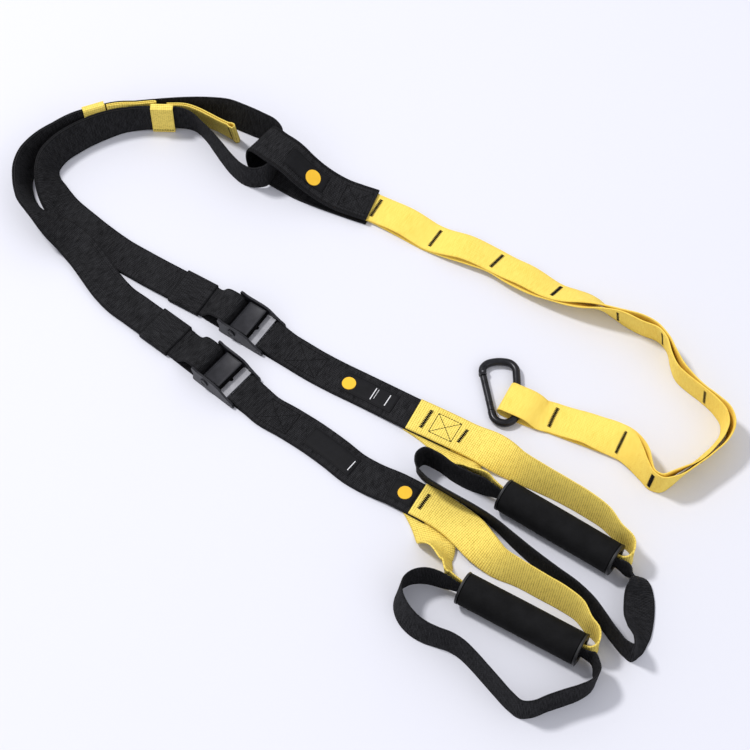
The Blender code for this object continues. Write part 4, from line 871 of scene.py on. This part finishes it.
lowerTop = {1: lowerStrap(1, routes["lowerOne"]), 2: lowerStrap(2, routes["lowerTwo"])}
print("lower straps")

# Handles: a yellow strap through each grip, and a foot cradle beside it

gripSpots = {1: (0.1845, -0.186, -33.7), 2: (0.1435, -0.2855, -30.2)}    # x, y and heading
gripLook = {"length": 0.133, "foam": 0.017, "cap": 0.0175, "bore": 0.011, "flange": 0.0025, "spigot": 0.008,
            "tubeInner": 0.012, "tubeOuter": 0.013, "apart": 0.002, "tuck": 0.018, "play": 0.0003,
            "foamRound": 0.0016, "swell": 0.00012, "capRound": 0.0008, "capInset": 0.0002, "steps": 72}
# beyond the grip's end and beside its axis in strap widths, and the strap's own width share
mouthShape = [(0.20, 0.52, 1.0), (0.30, 0.31, 0.94), (0.27, 0.13, 0.80), (0.17, 0.06, 0.65),
              (0.06, 0.053, webbing["gather"])]
openingShape = [(0.55, 0.045, 0.94), (0.34, 0.012, 0.78), (0.08, 0.0, webbing["gather"])]


def through(where, way, side, shape, inner):
    # stations from outside a grip's mouth to inside it
    end, rows = gripLook["length"] / 2, []
    for beyond, lateral, width in shape:
        extra = max(0.0, lateral - shape[-1][1]) * webbing["width"]
        point = (way * (end + beyond * webbing["width"]), side * (gripLook["apart"] + extra), 0)
        rows.append(localRows(where, [point], (0, 0, 1), width)[0])
    for x in inner:
        rows.append(localRows(where, [(x, side * gripLook["apart"], 0)], (0, 0, 1), webbing["gather"])[0])
    return np.array(rows)


handleStraps, gripFrames = {}, {}
for number, name in ((1, "One"), (2, "Two")):
    where = headingFrame(gripSpots[number], gripLook["cap"])
    gripFrames[number] = where
    end = gripLook["length"] / 2
    run, back, cradle = (layDown(routes[part + name]) for part in ("run", "back", "cradle"))
    into = through(where, 1, 1, mouthShape, [end / 2, -end / 2])
    out = through(where, -1, 1, openingShape, [])[::-1]
    handleStraps[number] = Strap(settled(smoothRun(np.vstack([run, into, out, back]))))
    ribbon(f"handleStrap{number}", handleStraps[number], handleWebbing, f"handle_strap_{number}", 6)
    start = through(where, 1, -1, openingShape[1:], [end - gripLook["tuck"]])[::-1]
    finish = through(where, -1, -1, openingShape, [gripLook["tuck"] - end])
    loop = Strap(settled(smoothRun(np.vstack([start, cradle, finish]))))
    ribbon(f"footCradle{number}", loop, blackWebbing, f"foot_cradle_{number}")
print("handle straps and foot cradles")

# Grips


def turned(profile, closed, steps):
    # a side view spun round the X axis; an open one starts and ends on it
    bm = bmesh.new()
    ring = [bm.verts.new((x, 0, radius)) for x, radius in profile]
    edges = [bm.edges.new(pair) for pair in zip(ring, ring[1:] + ring[:1] if closed else ring[1:])]
    bmesh.ops.spin(bm, geom=ring + edges, cent=(0, 0, 0), axis=(1, 0, 0), angle=math.tau, steps=steps,
                   use_merge=True)
    if not closed:
        bmesh.ops.remove_doubles(bm, verts=bm.verts, dist=1e-6)
    bmesh.ops.recalc_face_normals(bm, faces=bm.faces)
    return bm


def spun(name, outline, where, finish, body, node):
    bm = turned(outline, True, gripLook["steps"])
    bmesh.ops.transform(bm, matrix=where, verts=bm.verts)
    return addPiece(name, bm, finish, body, 35, (node,))


for number, where in gripFrames.items():
    end, edge = gripLook["length"] / 2, gripLook["foamRound"]
    flange, top = end - gripLook["flange"], gripLook["foam"]
    stop, inner = flange - gripLook["play"], gripLook["tubeOuter"] + gripLook["play"]
    foam = [(-stop, inner), *arc(edge - stop, top - edge, edge, 180, 90, 5)]
    foam += [(x * flange, top + gripLook["swell"] * math.cos(x * 3.0)) for x in (-0.6, -0.3, 0.0, 0.3, 0.6)]
    foam += [*arc(stop - edge, top - edge, edge, 90, 0, 5), (stop, inner)]
    piece = spun(f"gripFoam{number}", foam, where, gripFoam, f"grip_{number}", f"grip_foam_{number}")
    spigot, edge = gripLook["tubeInner"] - gripLook["play"], gripLook["capRound"]
    for label, way in (("inner", -1), ("outer", 1)):
        face, back, tipAt = way * (end - edge), way * flange, way * (flange - gripLook["spigot"])
        wall = [(tipAt, gripLook["bore"]), (tipAt, spigot), (back, spigot),
                (back, gripLook["cap"] - gripLook["capInset"])]
        wall += [(face + way * r, gripLook["cap"] - edge + x) for x, r in arc(0, 0, edge, 0, 90, 4)]
        wall += [(face + way * r, gripLook["bore"] + edge - x) for x, r in arc(0, 0, edge, 90, 0, 4)]
        spun(f"gripCap{label.title()}{number}", wall, where, hard["capPlastic"], f"grip_{number}",
             f"grip_cap_{label}_{number}")
print("grips")

# Carabiner


def rodAlong(points, radius, sides=28):
    # a round rod through the points, closed at both ends
    points = np.asarray(points, float)
    tangents = np.gradient(points, axis=0)
    bm = bmesh.new()
    rings = []
    for i, (point, tangent) in enumerate(zip(points, tangents)):
        ends = i in (0, len(points) - 1)
        ahead = Vector(tangent).normalized()
        side = Vector((0, 0, 1)).cross(ahead).normalized()
        turn = Matrix((side, ahead.cross(side), ahead)).transposed().to_4x4()
        ring = bmesh.ops.create_circle(bm, cap_ends=ends, segments=sides, radius=radius,
                                       matrix=Matrix.Translation(point) @ turn)
        rings.append(list({edge for vert in ring["verts"] for edge in vert.link_edges}))
    for a, b in zip(rings, rings[1:]):
        bmesh.ops.bridge_loops(bm, edges=a + b)
    bmesh.ops.recalc_face_normals(bm, faces=bm.faces)
    return bm


def drum(radius, length, where, sides=32):
    # a closed cylinder along the frame's Z axis
    bm = bmesh.new()
    bmesh.ops.create_cone(bm, cap_ends=True, segments=sides, radius1=radius, radius2=radius, depth=length,
                          matrix=where)
    return bm


def cutBy(bm, tool, mode="DIFFERENCE"):
    # Boolean of one bmesh with another, through throwaway objects
    made = [linked(name, meshFrom(name, shape)) for name, shape in (("whole", bm), ("tool", tool))]
    step = made[0].modifiers.new("cut", "BOOLEAN")
    step.operation = mode
    step.solver = "EXACT"
    step.object = made[1]
    bpy.context.view_layer.update()
    result = bmesh.new()
    result.from_mesh(made[0].evaluated_get(bpy.context.evaluated_depsgraph_get()).to_mesh())
    for item in made:
        bpy.data.objects.remove(item, do_unlink=True)
    return result


spread = carabiner["wide"] - 2 * carabiner["rod"]
reach = carabiner["long"] / 2 - carabiner["rod"]
spineHeight = webbing["thick"] + webbing["gap"] + carabiner["rod"]
rodShape = [(-0.97, 0.66), (-0.965, 0.78), (-0.85, 0.93), (-0.62, 1.0), (-0.38, 1.0), (-0.15, 0.93),
            (-0.02, 0.76), (0.0, 0.52), (0.0, 0.0), (0.0, -0.56), (-0.04, -0.76), (-0.18, -0.93),
            (-0.38, -1.0), (-0.56, -0.95), (-0.69, -0.82), (-0.745, -0.62)]
spineFrame = Matrix.Translation(Vector(floorShift) + Vector((*carabiner["spine"], spineHeight)))
spineFrame = spineFrame @ Matrix.Rotation(-math.asin((spineHeight - carabiner["rod"]) / spread), 4, "Y")
rodRows = np.array([(x * spread, y * reach, 0, 1, 0, 0, 1) for x, y in rodShape], float)
rodRows = smoothRun(rodRows)[:, :3]
nose = Vector(rodRows[-1])
hinge = Vector((rodShape[0][0] * spread, rodShape[0][1] * reach, 0))
pinFrame = Matrix.Translation(hinge)
play, pinHole = carabiner["play"], carabiner["pin"] + carabiner["play"]
body = rodAlong(rodRows, carabiner["rod"])
body = cutBy(body, drum(carabiner["rod"], 1.9 * carabiner["rod"], pinFrame), "UNION")
body = cutBy(body, drum(carabiner["rod"] + play, carabiner["tongue"] + 2 * play, pinFrame))
body = cutBy(body, drum(pinHole, 4 * carabiner["rod"], pinFrame, 20))
bmesh.ops.transform(body, matrix=spineFrame, verts=body.verts)
rod = addPiece("carabinerRod", body, hard["rodAnodised"], "carabiner", 40, ("carabiner_body",))
roundEdges(rod, carabiner["edge"], 3, 40)

aim = nose - hinge
gateLength = aim.length - 2 * play
gateFrame = pinFrame @ Matrix.Rotation(math.atan2(aim.y, aim.x), 4, "Z")
shoulder = carabiner["rod"] + 2 * play
gateRadius, rim = carabiner["gateRadius"], carabiner["rim"]
profile = [(shoulder, 0.0), (shoulder, gateRadius - rim), (shoulder + rim, gateRadius)]
for groove in carabiner["grooves"]:
    spot = shoulder + (gateLength - shoulder) * groove
    profile += [(spot + x, gateRadius - deep) for x, deep in carabiner["grooveShape"]]
profile += [(gateLength - rim, gateRadius), (gateLength, gateRadius - rim), (gateLength, 0.0)]
tongue = drum(carabiner["rod"] - 2 * play, carabiner["tongue"], Matrix.Identity(4))
bar = bmesh.new()
bmesh.ops.create_cube(bar, size=1.0, matrix=Matrix.Translation(((shoulder + gateRadius) / 2, 0, 0))
                      @ Matrix.Diagonal((shoulder + gateRadius, (carabiner["rod"] - play) * 1.5,
                                         carabiner["tongue"], 1.0)))
gate = cutBy(cutBy(turned(profile, False, 40), bar, "UNION"), tongue, "UNION")
gate = cutBy(gate, drum(pinHole, 4 * carabiner["rod"], Matrix.Identity(4), 20))
bmesh.ops.transform(gate, matrix=spineFrame @ gateFrame, verts=gate.verts)
addPiece("carabinerGate", gate, hard["rodAnodised"], "gate", 35, ("carabiner_gate",))
print("carabiner")

# Buckles and small hardware


def softened(node, name, finish, body, width):
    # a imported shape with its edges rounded
    bm = bmesh.new()
    bm.from_mesh(nodes[node].data)
    bmesh.ops.remove_doubles(bm, verts=bm.verts, dist=1e-6)
    bmesh.ops.dissolve_limit(bm, angle_limit=math.radians(1.0), verts=bm.verts, edges=bm.edges)
    roundEdges(addPiece(name, bm, finish, body, 40, (node,)), width, 2, 30)


def drawnOut(outline, low, high, sideways=True):
    # an outline drawn out across the buckle, or upwards from one seen from above
    bm = bmesh.new()
    spots = [(x, low, z) if sideways else (x, z, low) for x, z in outline]
    side = bm.faces.new([bm.verts.new(spot) for spot in spots])
    made = bmesh.ops.extrude_face_region(bm, geom=[side])
    shift = (0, high - low, 0) if sideways else (0, 0, high - low)
    bmesh.ops.translate(bm, vec=shift, verts=[v for v in made["geom"] if isinstance(v, bmesh.types.BMVert)])
    bmesh.ops.recalc_face_normals(bm, faces=bm.faces)
    return bm


def flowing(points, steps=4):
    # closed curve through the points, kept above the floor
    p, out = np.array(points), []
    for i in range(len(p)):
        a, b, c, d = p[i - 1], p[i], p[(i + 1) % len(p)], p[(i + 2) % len(p)]
        for t in np.arange(steps) / steps:
            spot = 0.5 * (2 * b + (c - a) * t + (2 * a - 5 * b + 4 * c - d) * t**2
                          + (3 * b - a - 3 * c + d) * t**3)
            out.append((spot[0], max(0.0001, spot[1])))
    return out


hardware = {
    "inner": half + webbing["runGap"], "wall": 0.0024, "play": 0.0003, "baseStart": -0.0275,
    "axle": (buckle["axleAt"], 0.0113), "boss": (0.0050, 0.0028), "eye": 0.0029, "frameEdge": 0.0008,
    "axleEdge": 0.0003, "rivetEdge": 0.0002,
    "cheek": [(-0.0275, 0.0006), (-0.012, 0.0002), (0.008, 0.0002), (0.0255, 0.0004), (0.0275, 0.0030),
              (0.0262, 0.0066), (0.0215, 0.0088), (0.0150, 0.0128), (0.0075, 0.0180), (0.0, 0.0201),
              (-0.012, 0.0204), (-0.0215, 0.0206), (-0.0268, 0.0221), (-0.0297, 0.0217), (-0.0297, 0.0180),
              (-0.0276, 0.0120), (-0.0285, 0.0050)],
}
stopPlate = {"back": 0.0060, "front": 0.0168, "tab": (0.0075, 0.0125), "height": 0.0076, "thick": 0.0015,
             "notch": 0.0021, "seat": 0.6, "edge": 0.0003}
camLever = {    # the side view is taken from the axle: back edge, round cam, and the thumb's end
    "back": [(-0.0030, 0.0067), (-0.0048, 0.0049)], "cam": 0.0052, "hole": 0.0019, "edge": 0.0003,
    "thumb": [(0.0060, 0.0027), (0.0096, 0.0049), (0.0168, 0.0049), (0.0175, 0.0056), (0.0175, 0.0063),
              (0.0168, 0.0069), (0.0150, 0.0067)],
    "panel": (0.0016, -0.0005), "stud": (0.0008, 0.00035), "studPitch": 0.0011, "studTop": 0.0067,
    "studRow": (-0.0024, 0.0165), "studSides": (0.0174, -0.0018, 0.0140),
}


def acrossDrum(radius, length, x, y, z, sides=40):
    # the same, lying across the buckle
    return drum(radius, length, Matrix.Translation((x, y, z)) @ Matrix.Rotation(math.pi / 2, 4, "X"), sides)


def block(low, high):
    bm = bmesh.new()
    middle, size = (Vector(low) + Vector(high)) / 2, Vector(high) - Vector(low)
    bmesh.ops.create_cube(bm, size=1.0, matrix=Matrix.Translation(middle) @ Matrix.Diagonal((*size, 1.0)))
    return bm


def placed(name, bm, finish, body, node, where, width):
    bmesh.ops.transform(bm, matrix=where, verts=bm.verts)
    roundEdges(addPiece(name, bm, finish, body, 30, (node,)), width, 3, 30)


def buckleSet(number):
    where, inner, play = buckleFrames[number], hardware["inner"], hardware["play"]
    outer = inner + hardware["wall"]
    axleX, axleZ = hardware["axle"]
    cheek = flowing(hardware["cheek"])
    floor = webbing["thick"] + webbing["gap"]
    stopLow, stopHigh = stopPlate["height"], stopPlate["height"] + stopPlate["thick"]
    seat = inner + hardware["wall"] * stopPlate["seat"]    # how far the plate's tabs reach into the cheeks
    frame = cutBy(drawnOut(cheek, inner, outer), drawnOut(cheek, -outer, -inner), "UNION")
    frame = cutBy(frame, block((hardware["baseStart"], -inner - 0.001, floor),
                               (buckle["baseEnd"], inner + 0.001, floor + buckle["baseThick"])), "UNION")
    for side in (-1, 1):
        frame = cutBy(frame, acrossDrum(*hardware["boss"], axleX, side * outer, axleZ), "UNION")
    frame = cutBy(frame, acrossDrum(hardware["eye"], 3 * outer, axleX, 0, axleZ))
    frame = cutBy(frame, acrossDrum(buckle["barRadius"] + play, 3 * outer, buckle["barAt"], 0,
                                    floor + buckle["barRadius"], 32))
    frame = cutBy(frame, block((stopPlate["tab"][0] - play, -seat, stopLow - play),
                               (stopPlate["tab"][1] + play, seat, stopHigh + play)))
    placed(f"buckleFrame{number}", frame, hard["buckleMetal"], "straps", f"buckle_frame_{number}", where,
           hardware["frameEdge"])

    pivot = where @ Matrix.Translation((axleX, 0, axleZ))
    wide = inner - 2 * webbing["runGap"]
    side = camLever["back"] + arc(0, 0, camLever["cam"], 135, 345, 16) + camLever["thumb"]
    lever = drawnOut(side, -wide, wide)
    top = max(lever.faces, key=lambda face: face.normal.z * face.calc_area())
    thickness, depth = camLever["panel"]
    bmesh.ops.inset_individual(lever, faces=[top], thickness=thickness, depth=depth, use_even_offset=True)
    lever = cutBy(lever, acrossDrum(camLever["hole"], 3 * outer, 0, 0, 0, 32))
    placed(f"camLever{number}", lever, hard["buckleMetal"], f"lever_{number}", f"cam_lever_{number}", pivot,
           camLever["edge"])
    studs, pitch = Thread(), camLever["studPitch"]
    (rowX, rowY), (sideY, low, high) = camLever["studRow"], camLever["studSides"]
    spots = [(rowX, y) for y in np.arange(-rowY, rowY + 0.0001, pitch)]
    spots += [(x, y) for y in (-sideY, sideY) for x in np.arange(low, high, pitch)]
    for x, y in spots:
        studs.stitch(pivot @ Matrix.Translation((x, y, camLever["studTop"])), *camLever["stud"])
    studs.finish(f"leverStuds{number}", hard["buckleMetal"], f"lever_{number}")

    back, front, (tabBack, tabFront) = stopPlate["back"], stopPlate["front"], stopPlate["tab"]
    reach, tip = inner - play, seat - 0.0002
    outline = [(back, -reach), (tabBack, -reach), (tabBack, -tip), (tabFront, -tip), (tabFront, -reach),
               (front, -reach)]
    outline += [(x, -y) for x, y in outline[::-1]] + arc(back, 0, stopPlate["notch"], 90, -90, 10)
    plate = drawnOut(outline, stopLow, stopHigh, False)
    placed(f"stopPlate{number}", plate, hard["plateMetal"], "straps", f"stop_plate_{number}", where,
           stopPlate["edge"])


for number in (1, 2):
    buckleSet(number)
    edge = hardware["axleEdge"]
    # painted shade: the cam axles take the darkest finish, so that their ends read as dark shaded holes in
    # the cheeks' bosses
    softened(f"cam_axle_{number}", f"camAxle{number}", hard["capPlastic"], "straps", edge)
    softened(f"strap_bar_{number}", f"strapBar{number}", hard["buckleMetal"], "straps", edge)
    tube = nodes[f"grip_tube_{number}"].data
    tube.materials.clear()
    tube.materials.append(hard["capPlastic"])
softened("gate_hinge_pin", "gateRivet", hard["pinSteel"], "carabiner", hardware["rivetEdge"])
print("buckles")

# Labels, discs and stitching

labelLook = {"thick": 0.0008, "wide": 0.023, "gap": 0.0003, "edge": 0.0003, "discHigh": 0.0006,
             "discBevel": 0.0002, "stripeHigh": 0.0003, "rim": 0.0016, "rimEnd": 0.0015}
padFace = Strap(smoothRun(padTop), padLook["width"], padLook["thick"])
# node, strap, span along it, disc (along, beside, radius) and stripes (along, beside, wide, long)
labelSpots = {
    "equalizerLabel": ("equalizer_patch", padFace, (0.058, 0.111), (0.0160, 0.0022, 0.0092), []),
    "upperLabel": ("label_patch_1", lowerTop[1], (0.070, 0.133), (0.0085, -0.0014, 0.0075),
                   [(0.037, 0.0, 0.0010, 0.0150), (0.040, 0.001, 0.0005, 0.0120),
                    (0.054, 0.0, 0.0010, 0.0140)]),
    "lowerLabel": ("label_patch_2", lowerTop[2], (0.065, 0.126), None, [(0.057, 0.0, 0.0010, 0.0130)]),
    "tipLabel": ("label_patch_3", lowerTop[2], (0.170, 0.197), (0.0155, -0.0004, 0.0075), []),
}


def label(name, node, strap, span, disc, stripes):
    # a patch sewn on a strap, with its disc and stripes; the padded face is softer, so its gap is double
    thick, gaps = labelLook["thick"], 2 if strap is padFace else 1
    rise = strap.thick / 2 + gaps * labelLook["gap"] + thick / 2
    cut = Strap(moved(between(strap.rows, *span), rise), labelLook["wide"], thick)
    bm = bmesh.new()
    layGrid(bm, cut, 4)
    thicken(addPiece(name, bm, hard["labelRubber"], "straps", 40, (node,)), "label", thick, labelLook["edge"])
    if disc:
        place, beside, radius = disc
        bm = bmesh.new()
        bmesh.ops.create_cone(bm, cap_ends=True, segments=48, radius1=radius,
                              radius2=radius - labelLook["discBevel"], depth=labelLook["discHigh"],
                              matrix=cut.at(place, beside, (thick + labelLook["discHigh"]) / 2))
        addPiece(name + "Disc", bm, hard["discYellow"], "straps", 40)
    if stripes:
        bm = bmesh.new()
        for place, beside, wide, long in stripes:
            bmesh.ops.create_cube(bm, size=1.0, matrix=cut.at(place, beside, thick / 2)
                                  @ Matrix.Diagonal((wide, long, labelLook["stripeHigh"], 1.0)))
        addPiece(name + "Stripes", bm, hard["palePrint"], "straps")
    return cut


labels = [label(name, *spots) for name, spots in labelSpots.items()]
print("labels")

# boxes: start, end and reach; tacks: place and span across; threads: pitch, length and radius
sewing = {
    "proud": 0.0001, "lowerBox": (0.006, 0.044, 0.014), "padBox": (0.004, 0.036, 0.0145), "padEnd": 0.002,
    "startTack": (0.0150, -0.0120, 0.0120), "handleBox": (0.0235, 0.0500, 0.0120),
    "endTack": (0.0575, -0.0090, 0.0090), "endLength": 0.0046, "otherTack": (0.0080, -0.0100, 0.0100),
    "tailTacks": (-0.009, 0.009), "tailSpan": (-0.0150, 0.0150), "tailLength": 0.0026,
    "labelThread": (0.0024, 0.0020, 0.00036), "sleeveThread": (0.0029, 0.0027, 0.00052),
    "sleeveSeam": (0.0030, 0.0115),
}
skin, padSkin, proud = webbing["thick"] / 2, padLook["thick"] / 2, sewing["proud"]
tacks = Thread()
upperStrap, lowerLayer = Strap(upper, webbing["anchorWidth"]), Strap(lower, webbing["anchorWidth"])
reach = anchorLook["tackReach"]
for spot in tackSpots:
    index = int(np.argmin(np.abs(along - sewnLength - spot)))
    tacks.tack(upperStrap, upperStrap.along[index], -reach, reach, skin + proud)
    tacks.tack(lowerLayer, lowerLayer.along[index], -reach, reach, -skin + 2 * proud)
tacks.finish("anchorTacks", hard["blackThread"])

seams = Thread()
for strap in lowerTop.values():
    seams.crossBox(strap, *sewing["lowerBox"], skin)
seams.crossBox(padFace, *sewing["padBox"], padSkin)
for edge in (-padLook["seam"], padLook["seam"]):
    for rise in (-padSkin, padSkin):
        seams.line(padStrap, [(sewing["padEnd"], edge), (padStrap.length - sewing["padEnd"], edge)], rise)
for cut in labels:
    start, end, rim = labelLook["rimEnd"], cut.length - labelLook["rimEnd"], cut.width / 2 - labelLook["rim"]
    seams.line(cut, [(start, -rim), (end, -rim), (end, rim), (start, rim), (start, -rim)], cut.thick / 2,
               *sewing["labelThread"])
seams.finish("blackSeams", hard["blackThread"])

boxes = Thread()
boxes.tack(handleStraps[1], *sewing["startTack"], skin + proud)
boxes.crossBox(handleStraps[1], *sewing["handleBox"], skin)
boxes.tack(handleStraps[1], *sewing["endTack"], skin + proud, sewing["endLength"])
boxes.tack(handleStraps[2], *sewing["otherTack"], skin + proud)
for sleeve in sleeves.values():
    wall = sleeveLook["wall"]
    quarter, face, side = wall * math.pi / 2, 2 * wideInside - wall, 2 * deepInside - wall
    inset, ends = sewing["sleeveSeam"]
    for seam in (quarter + face - inset, 3 * quarter + face + side + inset):
        boxes.line(sleeve, [(seam, -ends), (seam, ends)], wall / 2 + 2 * proud, *sewing["sleeveThread"])
for side in sewing["tailTacks"]:
    boxes.tack(tailOne, tailOne.length / 2 + side, *sewing["tailSpan"], skin, sewing["tailLength"])
boxes.finish("handleSeams", hard["blackThread"])
print("stitching")
